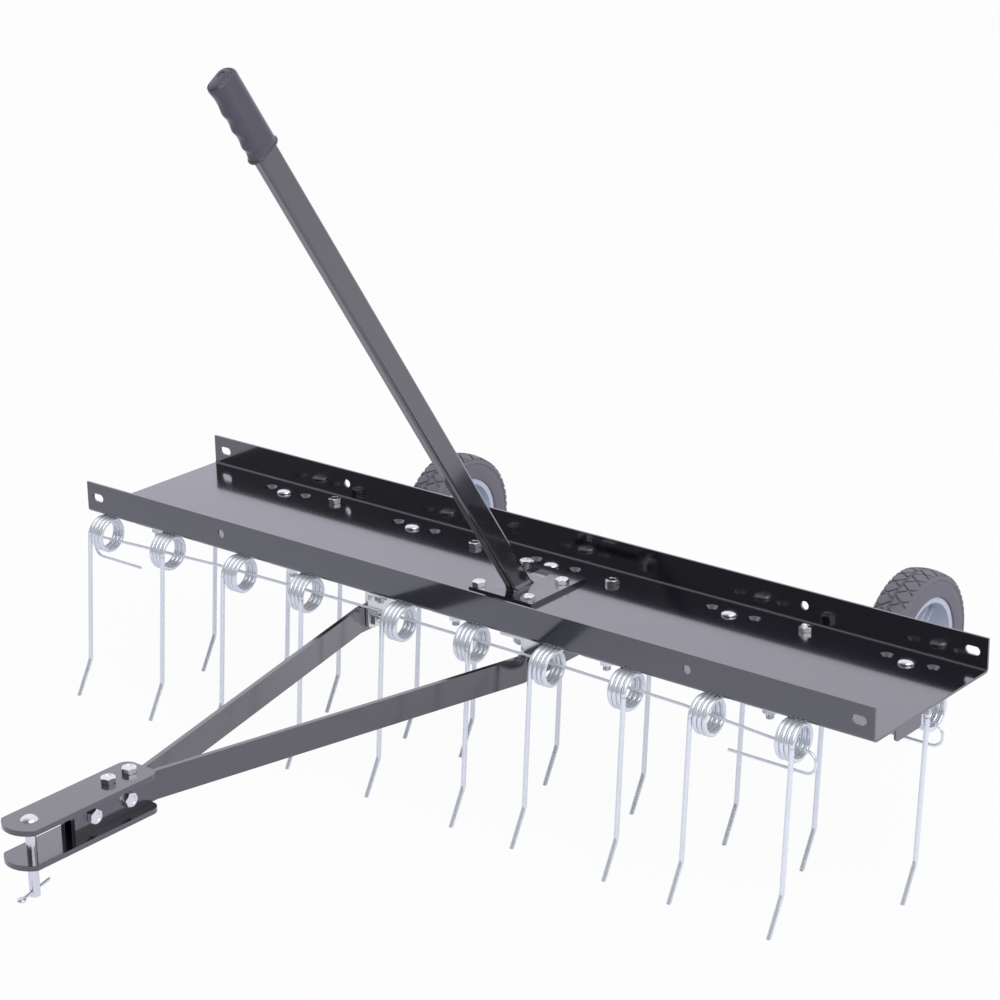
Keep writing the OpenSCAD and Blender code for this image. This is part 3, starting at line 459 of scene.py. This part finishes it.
def hook(side, x, z, leg):
    """Half turn at x on that side, and the leg that runs back below it."""
    half_turn = [(side * (x + hook_r * math.cos(a)), 0, z - hook_r + hook_r * math.sin(a))
                 for a in np.radians(np.linspace(90, -90, 17))]
    return half_turn + [(side * (x - leg), 0, z - 2 * hook_r)]


front_run = bent([(1 - long_end, 0, front_end_z), (-299.7, 0, sag_z), (-110, 0, arm_z),
                  (110, 0, arm_z), (299.7, 0, sag_z), (short_end - 1, 0, front_end_z)], 40)
front_line = np.array(hook(-1, long_end, front_end_z, long_leg)[::-1] + front_run.tolist()
                      + hook(1, short_end, front_end_z, short_leg))
rear_line = np.array(hook(-1, long_end, rear_z, long_leg)[::-1]
                     + hook(1, short_end, rear_z, short_leg)) * [-1, 1, 1]
for row, body, line in (("front", "drawbar", front_line), ("rear", "root", rear_line)):
    rod = wire(row + "_retaining_rod", line + [0, tine_rows[row][0], 0], rod_r, spring_wire,
               sides=12)
    fitted(rod, body, "spring_zinc", row + "_rod")

# Drawbar: two arms of 28 by 5 mm flat steel bar, set on edge and bent to meet between two hitch
# plates; coated gloss black, with M8 bolts down through the plates and across the arms.
for side in ("left", "right"):
    arm = broken_edges("drawbar_arm_" + side, "arm_" + side, 0.0009, gloss_black)
    fitted(arm, "drawbar", "coat", "arm_" + side)
for level in ("upper", "lower"):
    plate = broken_edges(f"clevis_plate_{level}", "hitch_plate_" + level, 0.0006, gloss_black)
    fitted(plate, "drawbar", "coat", "hitch_plate_" + level)
upright_y, across_y = (-554.6, -529), (-583.5, -541)
plates_top, plates_under, arms_out = -12, -50, 9.3
fasteners("clevis_bolts_upright", bolt(length=47.5, threaded=9, **m8),
          [((0, y, plates_top), UP) for y in upright_y], bright_zinc, 21, "drawbar",
          "hitch_bolts")
fasteners("clevis_bolts_across", bolt(length=28.1, threaded=9, **m8),
          [((arms_out, y, pivot_z), RIGHT) for y in across_y], bright_zinc, 22, "drawbar",
          "hitch_bolts")
fasteners("clevis_nuts", nut(**m8_nut), [((0, y, plates_under), UP) for y in upright_y]
          + [((-arms_out, y, pivot_z), RIGHT) for y in across_y], bright_zinc, 23, "drawbar",
          "hitch_nuts")

# Hitch pin: turned from steel and zinc plated, with a low domed head, cross-drilled for a split
# pin. The split pin is one half-round wire folded flat on itself, with an eye and one longer leg.
pin = broken_edges("clevis_pin", "hitch_pin", 0.0004, bright_zinc)
fitted(pin, "hitch_pin", "zinc", "hitch_pin")


def swept(line, side, section, closed=False):
    """Mesh of a section of (out, up) points carried along a line; side points outwards."""
    line, section = np.asarray(line, float), np.asarray(section, float)
    count = len(line)
    points = []
    for i, p in enumerate(line):
        before = line[(i - 1) % count] if closed or i else p
        after = line[(i + 1) % count] if closed or i < count - 1 else p
        ahead = (after - before) / np.linalg.norm(after - before)
        out = np.asarray(side[i] if np.ndim(side) == 2 else side, float)
        out = out - ahead * (out @ ahead)
        out /= np.linalg.norm(out)
        up = np.cross(ahead, out)
        shape = section[i] if section.ndim == 3 else section
        points += [p + a * out + b * up for a, b in shape]
    around = len(shape)
    faces = [(i * around + (k + 1) % around, i * around + k, (i + 1) % count * around + k,
              (i + 1) % count * around + (k + 1) % around)
             for i in range(count if closed else count - 1) for k in range(around)]
    if not closed:
        faces.append(tuple(range(around)))
        faces.append(tuple(range(count * around - 1, (count - 1) * around - 1, -1)))
    return solid(laid(points), [f[::-1] for f in faces])


split_at, split_turn = np.array([0, -647.5, -80]), math.radians(15)
along = np.array([math.sin(split_turn), -math.cos(split_turn), 0])
across = np.array([math.cos(split_turn), math.sin(split_turn), 0])
split_r, split_deep = 1.5, 1.55
half_round = [(split_deep * math.sin(a), split_r * math.cos(a))
              for a in np.radians(np.linspace(0, 180, 9))]
long_tip, short_tip, neck, eye_at, eye_r, leg_gap = -24.5, -22, 16.5, 20.6, 2.6, 0.05
eye = [(eye_at + eye_r * math.cos(a), eye_r * math.sin(a))
       for a in np.radians(np.linspace(-150, 150, 25))]
split_line = np.array([(long_tip, -leg_gap), (neck, -leg_gap)] + eye
                      + [(neck, leg_gap), (short_tip, leg_gap)])
spine = [split_at + u * along + v * across for u, v in split_line]
outward = []
for i in range(len(split_line)):
    way = split_line[min(i + 1, len(split_line) - 1)] - split_line[max(i - 1, 0)]
    way /= np.linalg.norm(way)
    outward.append(way[1] * along - way[0] * across)
split = shown("folded_split_pin", swept(spine, np.array(outward), half_round), bright_zinc)
fitted(split, "split_pin", "zinc", "split_pin")

# Lift handle: 25 by 12 mm flat-sided steel tube cut to its slope and welded to a 4 mm plate with a
# window, all coated gloss black, over the ripples of the weld too. Four M8 bolts hold the plate.
handle = broken_edges("lift_handle", "handle", 0.0005, gloss_black)
fitted(handle, "root", "coat", "handle")
lean, plate_top = math.radians(34), 6.5
stem_foot = np.array([25, -3, plate_top])
foot_at = Vector(laid(stem_foot))
cone_reach, cone_draw_x, cone_draw_y = (0.0108, 0.0199, 0.0009), 0.77, 0.88
for v in handle.data.vertices:  # the foot of the solid's plain weld is drawn in under the bead
    reach = v.co - foot_at
    if all(abs(r) < most for r, most in zip(reach, cone_reach)):
        v.co.x = foot_at.x + reach.x * cone_draw_x
        v.co.y = foot_at.y + reach.y * cone_draw_y
corner_r, corner_x, corner_y = 3, 3, 12.1
weld_foot, weld_out = [], []
for cx, cy, first in ((1, 1, 0), (-1, 1, 90), (-1, -1, 180), (1, -1, 270)):
    for a in np.radians(np.linspace(first, first + 90, 9)):
        weld_foot.append((cx * corner_x + corner_r * math.cos(a),
                          cy * corner_y + corner_r * math.sin(a)))
        weld_out.append((math.cos(a), math.sin(a)))
weld_foot, weld_out = np.array(weld_foot + weld_foot[:1]), np.array(weld_out + weld_out[:1])
run = np.concatenate([[0], np.cumsum(np.linalg.norm(np.diff(weld_foot, axis=0), axis=1))])
stops = np.linspace(0, run[-1], 241)[:-1]
foot_line, foot_side = (np.stack([np.interp(stops, run, side[:, 0]),
                                  np.interp(stops, run, side[:, 1]), 0 * stops], 1)
                        for side in (weld_foot, weld_out))
ripple_run, ripple_high, waver_run, waver = 2.4, 0.22, 0.31, 0.2
bead_least, bead_out, bead_up = 1.5, 0.5, 0.9
bead_r = (bead_least + ripple_high * np.abs(np.sin(stops * math.pi / ripple_run))
          + waver * np.sin(stops * waver_run))
bead_shape = [[(bead_out + r * math.cos(a), bead_up + r * math.sin(a))
               for a in np.radians(np.arange(0, 360, 30))] for r in bead_r]
weld = swept(foot_line, foot_side, bead_shape, closed=True)
for v in weld.vertices:
    v.co -= Vector(laid([0, 0, 0]))
    v.co.y -= v.co.z * math.tan(lean)
    v.co += foot_at
fitted(shown("weld_bead", weld, gloss_black, 60), "root", "coat", "handle")
plate_bolts = ((-8.5, -27.5), (56.5, -29.5), (-7.5, 49), (55.5, 28))
fasteners("handle_plate_bolts", bolt(length=6.5, threaded=2, **m8),
          [((x, y, plate_top), UP) for x, y in plate_bolts], bright_zinc, 31, "root",
          "handle_bolts")

# Grip: soft vinyl moulding pushed over the tube, oval, with a collar, four finger hollows on its
# lower side, a parting line on its flank, and a rimmed end cap with a small vent slot.
grip_vinyl = surface("satin_vinyl", (0.045, 0.043, 0.06), 0.27, shift=0.15, cloud=60, grain=1300,
                     relief=0.00004, Specular_IOR_Level=0.8)
grip_r, grip_half, grip_l, stem_l, round_end = 9.5, 6.5, 86, 706, 5
hollows = ((4.5, 16.4, 1.6), (16.4, 36.7, 2.0), (36.7, 56.1, 2.0), (56.1, 83, 2.0))
seam_from, seam_wide, seam_deep = 44, 0.06, 0.55
grip_turn = np.radians(np.arange(0, 360, 3))


def grip_ring(w, flank=0.0, front=0.0, rear=0.0):
    """Section of the grip at w along it, drawn in by so much on its flanks, front and rear."""
    across, along = np.cos(grip_turn), np.sin(grip_turn)
    r = grip_r - flank * across ** 2 - np.where(along < 0, front, rear) * along ** 2
    for low, high, deep in hollows:
        if low < w < high:
            r = r - deep * math.sin(math.pi * (w - low) / (high - low)) ** 1.4 * np.clip(
                -along, 0, 1) ** 1.6
    from_seam = (grip_turn + math.pi) % (2 * math.pi) - math.pi
    faded = min(1, max(0, w - seam_from) / 3, max(0, grip_l - 2 - w) / 3)
    x = r * across - seam_deep * faded * np.exp(-(from_seam / seam_wide) ** 2)
    return np.stack([x, r * along + grip_half * np.tanh(along * 14), np.full_like(x, w)], 1)


lip = [grip_ring(w, flank, -out, -out) for w, flank, out in (
    (0, 1.0, 0.9), (0.3, 0.5, 1.5), (1.0, 0.15, 1.9), (2.0, 0.1, 1.9), (2.7, 0.3, 1.5),
    (3.1, 0.6, 0.4), (3.6, 0.7, 0), (4.6, 0.5, 0), (5.6, 0.3, 0), (6.6, 0.15, 0), (7.6, 0.05, 0))]
length = [grip_ring(w) for w in np.arange(8.6, grip_l - round_end, 1.0)]
shoulder = [grip_ring(grip_l - round_end + round_end * math.sin(a),
                      *(drawn * (1 - math.cos(a)) for drawn in (1.5, 0.5, 4.0)))
            for a in np.radians(np.linspace(0, 85, 9))]
end_cap = [grip_ring(grip_l + rise, inset, inset - 1, min(inset + 2.2, 9.3)) for inset, rise in (
    (1.75, 0.1), (1.95, -0.45), (2.4, -0.45), (2.6, 0.2), (3.4, 0.75), (4.4, 1.1), (5.6, 1.35),
    (7.0, 1.55), (8.4, 1.65), (9.2, 1.68))]
grip_rings = lip + length + shoulder + end_cap
around, last = len(grip_turn), len(grip_rings) - 1
grip_faces = [(i * around + k, i * around + (k + 1) % around,
               (i + 1) * around + (k + 1) % around, (i + 1) * around + k)
              for i in range(last) for k in range(around)]
grip_faces += [tuple(range(around - 1, -1, -1)),
               tuple(range(last * around, (last + 1) * around))]
slope = np.array(Matrix.Rotation(lean, 3, "X"))


def on_grip(points):
    """Points about the grip's own axis, from its open end, to the drawing."""
    return stem_foot + (np.asarray(points, float) + [0, 0, stem_l - grip_l]) @ slope.T


grip_mesh = solid(laid(on_grip(np.concatenate(grip_rings))), grip_faces)
grip_source = bpy.data.objects.new("grip_source", grip_mesh)
bpy.context.scene.collection.objects.link(grip_source)
slot_line = bent([(-2.7, -0.5, 0), (-2.9, 6.2, 0), (1.2, 6.0, 0)], 3.5)[:, :2]
slot_half, slot_from, slot_to = 0.75, grip_l - 9, grip_l + 5
ahead = np.gradient(slot_line, axis=0)
beside = np.stack([-ahead[:, 1], ahead[:, 0]], 1)
beside = beside / np.linalg.norm(ahead, axis=1)[:, None] * slot_half
slot_rim = np.concatenate([slot_line + beside, (slot_line - beside)[::-1]])
vent = [(x, y, w) for w in (slot_from, slot_to) for x, y in slot_rim]
size = len(slot_rim)
vent_faces = [tuple(range(size)), tuple(range(2 * size - 1, size - 1, -1))]
vent_faces += [((k + 1) % size, k, size + k, size + (k + 1) % size) for k in range(size)]
vent_mesh = solid(laid(on_grip(vent)), vent_faces)
cutter = bpy.data.objects.new("cutter", vent_mesh)
bpy.context.scene.collection.objects.link(cutter)
bm = bmesh.new()
bm.from_mesh(vent_mesh)
bmesh.ops.recalc_face_normals(bm, faces=bm.faces)
bm.to_mesh(vent_mesh)
bm.free()
cut = grip_source.modifiers.new("vent", "BOOLEAN")
cut.object = cutter
cut.solver = "EXACT"
grip_mesh = baked(grip_source)
bpy.data.objects.remove(cutter)
fitted(shown("vinyl_grip", grip_mesh, grip_vinyl, 40), "root", "grip_vinyl", "grip")

# Wheel forks: 4 mm steel strip bent into a tongue, a web and two cheeks, coated gloss black, each
# held by one M8 bolt. The wheels turn on the plain shanks of M10 bolts across the cheeks.
wheel_at, axle_y, axle_z = (-303.9, 317.9), 287, -76.5
for side in ("left", "right"):
    fork = broken_edges("wheel_fork_" + side, "fork_" + side, 0.0006, gloss_black)
    fitted(fork, "root", "coat", "fork_" + side)
fork_bolt_y, fork_t, cheeks_out = 79.5, 4, 25.75
fasteners("fork_mount_bolts", bolt(length=16, threaded=6, **m8),
          [((x, fork_bolt_y, sheet_t), UP) for x in wheel_at], bright_zinc, 41, "root",
          "fork_bolts")
fasteners("fork_mount_nuts", nut(**m8_nut), [((x, fork_bolt_y, -fork_t), UP) for x in wheel_at],
          bright_zinc, 42, "root", "fork_nuts")
for side, x, way in (("left", wheel_at[0], -1), ("right", wheel_at[1], 1)):
    fasteners("axle_bolt_" + side, bolt(length=62.5, threaded=11, **m10),
              [((x + way * cheeks_out, axle_y, axle_z), (way, 0, 0))], bright_zinc, 43, "root",
              "axle_" + side)
fasteners("axle_bolt_nuts", nut(**m10_nut),
          [((wheel_at[0] + cheeks_out, axle_y, axle_z), LEFT),
           ((wheel_at[1] - cheeks_out, axle_y, axle_z), RIGHT)], bright_zinc, 44, "root",
          "axle_nuts")

# Rims: injection-moulded blue-grey plastic, a deep band with a lip at each edge, five spokes of
# two ribs on a web, and a long hub. One fifth is modelled and repeated round the axle.
repeat, start, end = group("around_axle", ("Geometry", "Geometry"), ("Count", "Int"),
                           ("Look", "Material"))
nodes, link = repeat.nodes, repeat.links.new
line = nodes.new("GeometryNodeMeshLine")
line.inputs["Offset"].default_value = (0, 0, 0)
link(start.outputs["Count"], line.inputs["Count"])
index = nodes.new("GeometryNodeInputIndex")
share = nodes.new("ShaderNodeMath")
share.operation = "DIVIDE"
link(index.outputs["Index"], share.inputs[0])
link(start.outputs["Count"], share.inputs[1])
angle = nodes.new("ShaderNodeMath")
angle.operation = "MULTIPLY"
angle.inputs[1].default_value = 2 * math.pi
link(share.outputs["Value"], angle.inputs[0])
spin = nodes.new("FunctionNodeAxisAngleToRotation")
spin.inputs["Axis"].default_value = (1, 0, 0)
link(angle.outputs["Value"], spin.inputs["Angle"])
put = nodes.new("GeometryNodeInstanceOnPoints")
link(line.outputs["Mesh"], put.inputs["Points"])
link(start.outputs["Geometry"], put.inputs["Instance"])
link(spin.outputs["Rotation"], put.inputs["Rotation"])
ended(nodes, link, put.outputs["Instances"], start, end, seam=0.00001)


def wheel_strip(profile, span, columns):
    """A closed profile of (across, radius) points turned about the axle by span degrees."""
    turn = np.radians(np.linspace(0, span, columns + 1))
    points = [(x, r * math.sin(a), r * math.cos(a)) for a in turn for x, r in profile]
    k = len(profile)
    faces = [(c * k + i, c * k + (i + 1) % k, (c + 1) * k + (i + 1) % k, (c + 1) * k + i)
             for c in range(columns) for i in range(k)]
    return points, faces


def joined(*parts):
    """One list of points and faces from several."""
    points, faces = [], []
    for more, shapes in parts:
        faces += [tuple(i + len(points) for i in f) for f in shapes]
        points += [tuple(map(float, p)) for p in more]
    return np.array(points), faces


def bar(low, high, edge):
    """Box with broken edges."""
    bm = bmesh.new()
    bmesh.ops.create_cube(bm, size=1)
    for v in bm.verts:
        v.co = [(a + b) / 2 + c * (b - a) for a, b, c in zip(low, high, v.co)]
    bmesh.ops.bevel(bm, geom=bm.edges, offset=edge, segments=2, profile=0.7, affect="EDGES")
    made = [v.co[:] for v in bm.verts], [[v.index for v in f.verts] for f in bm.faces]
    bm.free()
    return made


rim_look = surface("rim_plastic", (0.50, 0.55, 0.63), 0.34, shift=0.06, cloud=60, grain=900,
                   relief=0.00003, Specular_IOR_Level=0.6)
band = [(17.25, 44.2), (17.25, 49.3), (16.8, 49.95), (13.6, 49.95), (13.2, 48.1), (-13.2, 48.1),
        (-13.6, 49.95), (-16.8, 49.95), (-17.25, 49.3), (-17.25, 44.2), (-16.7, 43.6),
        (0, 42.6), (16.7, 43.6)]
hub = [(21.4, 6.2), (21.4, 11.9), (20.5, 12.9), (-20.5, 12.9), (-21.4, 11.9), (-21.4, 6.2),
       (-20.5, 5.1), (20.5, 5.1)]
spokes, spoke_from, spoke_to, stands_turned = 5, 10, 44, {"left": 59, "right": 27}
fifth = joined(wheel_strip(band, 360 / spokes, 20), wheel_strip(hub, 360 / spokes, 10),
               bar((-7, -7, spoke_from), (-2, 7, spoke_to), 0.6),
               bar((-11.5, -7.2, spoke_from), (2.5, -4.5, spoke_to), 0.7),
               bar((-11.5, 4.5, spoke_from), (2.5, 7.2, spoke_to), 0.7))
for side, x in zip(("left", "right"), wheel_at):
    made = grown(repeat, solid(fifth[0] / 1000, fifth[1]), Count=spokes, Look=rim_look)
    made.transform(Matrix.Rotation(math.radians(stands_turned[side]), 4, "X"))
    made.transform(Matrix.Translation(laid((x, axle_y, axle_z))))
    fitted(shown("moulded_rim_" + side, made, rim_look), "wheel_" + side, "rim_plastic",
           "rim_" + side)

# Tyres: solid dark rubber pressed over the rims. The crowned tread has a fine rib round its
# middle and rows of diamond blocks on both halves that end in notches at the shoulders.
rubber = surface("dark_rubber", (0.15, 0.14, 0.163), 0.5, shift=0.15, cloud=60, grain=800,
                 relief=0.00006, Specular_IOR_Level=0.5)
blocks, tyre_r, tread_middle, crown_r, groove_deep = 28, 76.5, 10.7, 62, 1.9
repeat_u = 2 * math.pi * tyre_r / blocks
slant_turn = math.radians(35)
slant, groove = math.tan(slant_turn), 1.05 / math.cos(slant_turn)


def tread_top(x):
    """Radius of the tops of the blocks, crowned."""
    return tyre_r - crown_r + math.sqrt(crown_r ** 2 - x ** 2)


def tread_floor(x):
    """Radius of the floor of the grooves between them."""
    return tread_top(x) - groove_deep


def block(rows, side, shift):
    """A rubber block over rows of (across, from, to) along the tread, with drafted sides."""
    points, count = [], 5
    for x, a, b in rows:
        for k in range(count):
            u = a + (b - a) * k / (count - 1)
            points.append((x, u, tread_top(x)))
    tops = len(points)
    edge = (list(range(count)) + [r * count + count - 1 for r in range(1, len(rows))]
            + [(len(rows) - 1) * count + k for k in range(count - 2, -1, -1)]
            + [r * count for r in range(len(rows) - 2, 0, -1)])
    middle = np.mean([points[i][:2] for i in edge], axis=0)
    edge_out, edge_drop, foot_out, sunk = 0.3, 0.25, 0.55, 0.3
    for grow, drop in ((edge_out, edge_drop), (foot_out, None)):
        for i in edge:
            x, u, r = points[i]
            away = np.array([x, u]) - middle
            away /= max(np.linalg.norm(away), 0.01)
            x, u = np.array([x, u]) + away * grow
            points.append((x, u, tread_top(x) - drop if drop else tread_floor(x) - sunk))
    faces = [(r * count + k, r * count + k + 1, (r + 1) * count + k + 1, (r + 1) * count + k)
             for r in range(len(rows) - 1) for k in range(count - 1)]
    n = len(edge)
    rings = [edge, list(range(tops, tops + n)), list(range(tops + n, tops + 2 * n))]
    for upper, lower in zip(rings, rings[1:]):
        faces += [(upper[(k + 1) % n], upper[k], lower[k], lower[(k + 1) % n]) for k in range(n)]
    placed = []
    for x, u, r in points:
        a = (u + shift) / tyre_r
        placed.append((side * x, r * math.sin(a), r * math.cos(a)))
    return placed, [f[::side] for f in faces]


def block_rows(low, high, width, count=6):
    """Rows of a block whose half width at x is width(x), centred on u = 0."""
    least = 0.15
    halves = [(x, max(width(x), least)) for x in np.linspace(low, high, count)]
    return [(x, -half, half) for x, half in halves]


outer, inner, draft, point = 17.2, 1.6, 0.4, 0.6
whole = block_rows(inner, outer, lambda x: repeat_u / 2 - abs(x - tread_middle) * slant - groove
                   - draft, 9)
near = block_rows(inner, tread_middle - groove / slant - point,
                  lambda x: (tread_middle - x) * slant - groove - draft)
far = block_rows(tread_middle + groove / slant + point, outer,
                 lambda x: (x - tread_middle) * slant - groove - draft)
segment_parts = []
for side, start_u in ((1, 0), (-1, repeat_u / 2)):
    segment_parts += [block(whole, side, start_u + repeat_u / 2), block(near, side, start_u),
                      block(far, side, start_u)]
rib_r = tyre_r - 0.3
middle_rib = [(0, rib_r), (0.45, rib_r)]
grooved = [(x, tread_floor(x)) for x in (0.8, 4, 7, 10, 13, 15.9)]
shoulder = [(16.4, tread_top(16.4) - 1.3), (17.0, tread_top(17.0) - 1.5), (18.0, 71.4),
            (19.2, 70.2), (19.75, 69.6), (19.7, 68.3), (19.1, 67.6), (19.15, 66.9)]
side_wall = [(19.6, 66.2), (19.8, 60), (19.55, 53), (19.1, 50.6), (18.2, 50.1), (12.4, 50.1),
             (12.4, 48.2)]
half_carcass = middle_rib + grooved + shoulder + side_wall
carcass = [(-x, r) for x, r in half_carcass[:0:-1]] + half_carcass
segment_parts.append(wheel_strip(carcass[::-1], 360 / blocks, 6))
segment = joined(*segment_parts)
for side, x in zip(("left", "right"), wheel_at):
    made = grown(repeat, solid(segment[0] / 1000, segment[1]), Count=blocks, Look=rubber)
    made.transform(Matrix.Translation(laid((x, axle_y, axle_z))))
    fitted(shown("rubber_tyre_" + side, made, rubber, 35), "wheel_" + side, "tyre_rubber",
           "tyre_" + side)

# Studio: a plain pale floor that runs into a white surround, soft light from all round and one
# large soft lamp above; the camera stands at the photograph's angle. To the eye the surround is
# white. What the coat mirrors falls off towards the front, as in a studio with a dark front.
floor_half = 6
floor_mesh = solid([(x * floor_half, y * floor_half, 0)
                    for x, y in ((-1, -1), (1, -1), (1, 1), (-1, 1))], [(0, 1, 2, 3)])
floor_look = bpy.data.materials.new("studio_floor")
floor_look.use_nodes = True
nodes, links = floor_look.node_tree.nodes, floor_look.node_tree.links
paper = nodes["Principled BSDF"]
paper.inputs["Base Color"].default_value = (0.68, 0.67, 0.78, 1)
paper.inputs["Roughness"].default_value = 0.9
paper.inputs["Specular IOR Level"].default_value = 0.1
glow = nodes.new("ShaderNodeEmission")
seen = nodes.new("ShaderNodeLightPath")
tint = nodes.new("ShaderNodeMix")
tint.data_type = "RGBA"
links.new(seen.outputs["Is Glossy Ray"], tint.inputs["Factor"])
tint.inputs[colour_a].default_value = (1, 1, 1, 1)
tint.inputs[colour_b].default_value = (0.94, 0.92, 1, 1)
links.new(tint.outputs[colour_out], glow.inputs["Color"])
white_share, front_y, rear_y, front_glow, rear_glow = 0.95, -0.5, 0.3, 0.1, 0.7
bare = nodes.new("ShaderNodeMath")
bare.operation = "MULTIPLY"
bare.inputs[1].default_value = white_share
links.new(seen.outputs["Is Camera Ray"], bare.inputs[0])
place = nodes.new("ShaderNodeTexCoord")
along_y = nodes.new("ShaderNodeSeparateXYZ")
links.new(place.outputs["Object"], along_y.inputs["Vector"])
back = ranged(nodes, front_y, rear_y, front_glow, rear_glow)
links.new(along_y.outputs["Y"], back.inputs["Value"])
glow_share = nodes.new("ShaderNodeMath")
glow_share.operation = "MULTIPLY_ADD"
for socket, output in enumerate((seen.outputs["Is Glossy Ray"], back.outputs["Result"],
                                 bare.outputs["Value"])):
    links.new(output, glow_share.inputs[socket])
mixed = nodes.new("ShaderNodeMixShader")
links.new(glow_share.outputs["Value"], mixed.inputs["Fac"])
links.new(paper.outputs["BSDF"], mixed.inputs[1])
links.new(glow.outputs["Emission"], mixed.inputs[2])
links.new(mixed.outputs["Shader"], nodes["Material Output"].inputs["Surface"])
floor = bpy.data.objects.new("studio_floor", floor_mesh)
floor_mesh.materials.append(floor_look)
bpy.context.scene.collection.objects.link(floor)

world = bpy.data.worlds.new("studio")
bpy.context.scene.world = world
world.use_nodes = True
nodes, links = world.node_tree.nodes, world.node_tree.links
plain = nodes["Background"]
plain.inputs["Color"].default_value = (0.93, 0.95, 1.0, 1)
plain.inputs["Strength"].default_value = 0.85
place = nodes.new("ShaderNodeTexCoord")
towards_back, dark_from, bright_from, dark, bright = (-0.35, 0.93, 0.1), -0.5, 0.4, 0.18, 1.0
rearward = nodes.new("ShaderNodeVectorMath")
rearward.operation = "DOT_PRODUCT"
rearward.inputs[1].default_value = towards_back
links.new(place.outputs["Generated"], rearward.inputs[0])
fall = ranged(nodes, dark_from, bright_from, dark, bright)
fall.interpolation_type = "SMOOTHSTEP"
links.new(rearward.outputs["Value"], fall.inputs["Value"])
mirrored = nodes.new("ShaderNodeBackground")
mirrored.inputs["Color"].default_value = (0.96, 0.94, 1.07, 1)
links.new(fall.outputs["Result"], mirrored.inputs["Strength"])
white = nodes.new("ShaderNodeBackground")
white.inputs["Color"].default_value = (1, 1, 1, 1)
white.inputs["Strength"].default_value = 1.0
seen = nodes.new("ShaderNodeLightPath")
shine = nodes.new("ShaderNodeMixShader")
links.new(seen.outputs["Is Glossy Ray"], shine.inputs["Fac"])
links.new(plain.outputs["Background"], shine.inputs[1])
links.new(mirrored.outputs["Background"], shine.inputs[2])
mixed = nodes.new("ShaderNodeMixShader")
links.new(seen.outputs["Is Camera Ray"], mixed.inputs["Fac"])
links.new(shine.outputs["Shader"], mixed.inputs[1])
links.new(white.outputs["Background"], mixed.inputs[2])
links.new(mixed.outputs["Shader"], nodes["World Output"].inputs["Surface"])

lamp = bpy.data.lights.new("soft_lamp", "AREA")
lamp.size = 2.5
lamp.energy = 45
lamp_at = bpy.data.objects.new("soft_lamp", lamp)
lamp_at.location = (2.0, -0.9, 2.3)
lit_point = Vector((0, 0, 0.2))
lamp_at.rotation_euler = (lit_point - lamp_at.location).to_track_quat("-Z", "Y").to_euler()
bpy.context.scene.collection.objects.link(lamp_at)

camera = bpy.data.cameras.new("camera")
camera.lens = 100.44
camera.sensor_width = 36
camera.clip_start = 0.05
camera_at = bpy.data.objects.new("camera", camera)
stands_at, dip, swing, roll = Vector((1.6875, -1.91175, 1.2496)), 19.73, 39.28, -0.86
heading = Euler((math.radians(90 - dip), 0, math.radians(swing))).to_matrix()
heading = heading @ Matrix.Rotation(math.radians(roll), 3, "Z")
camera_at.matrix_world = Matrix.LocRotScale(stands_at, heading, None)
bpy.context.scene.collection.objects.link(camera_at)
bpy.context.scene.camera = camera_at
bpy.context.scene.view_settings.view_transform = "Standard"
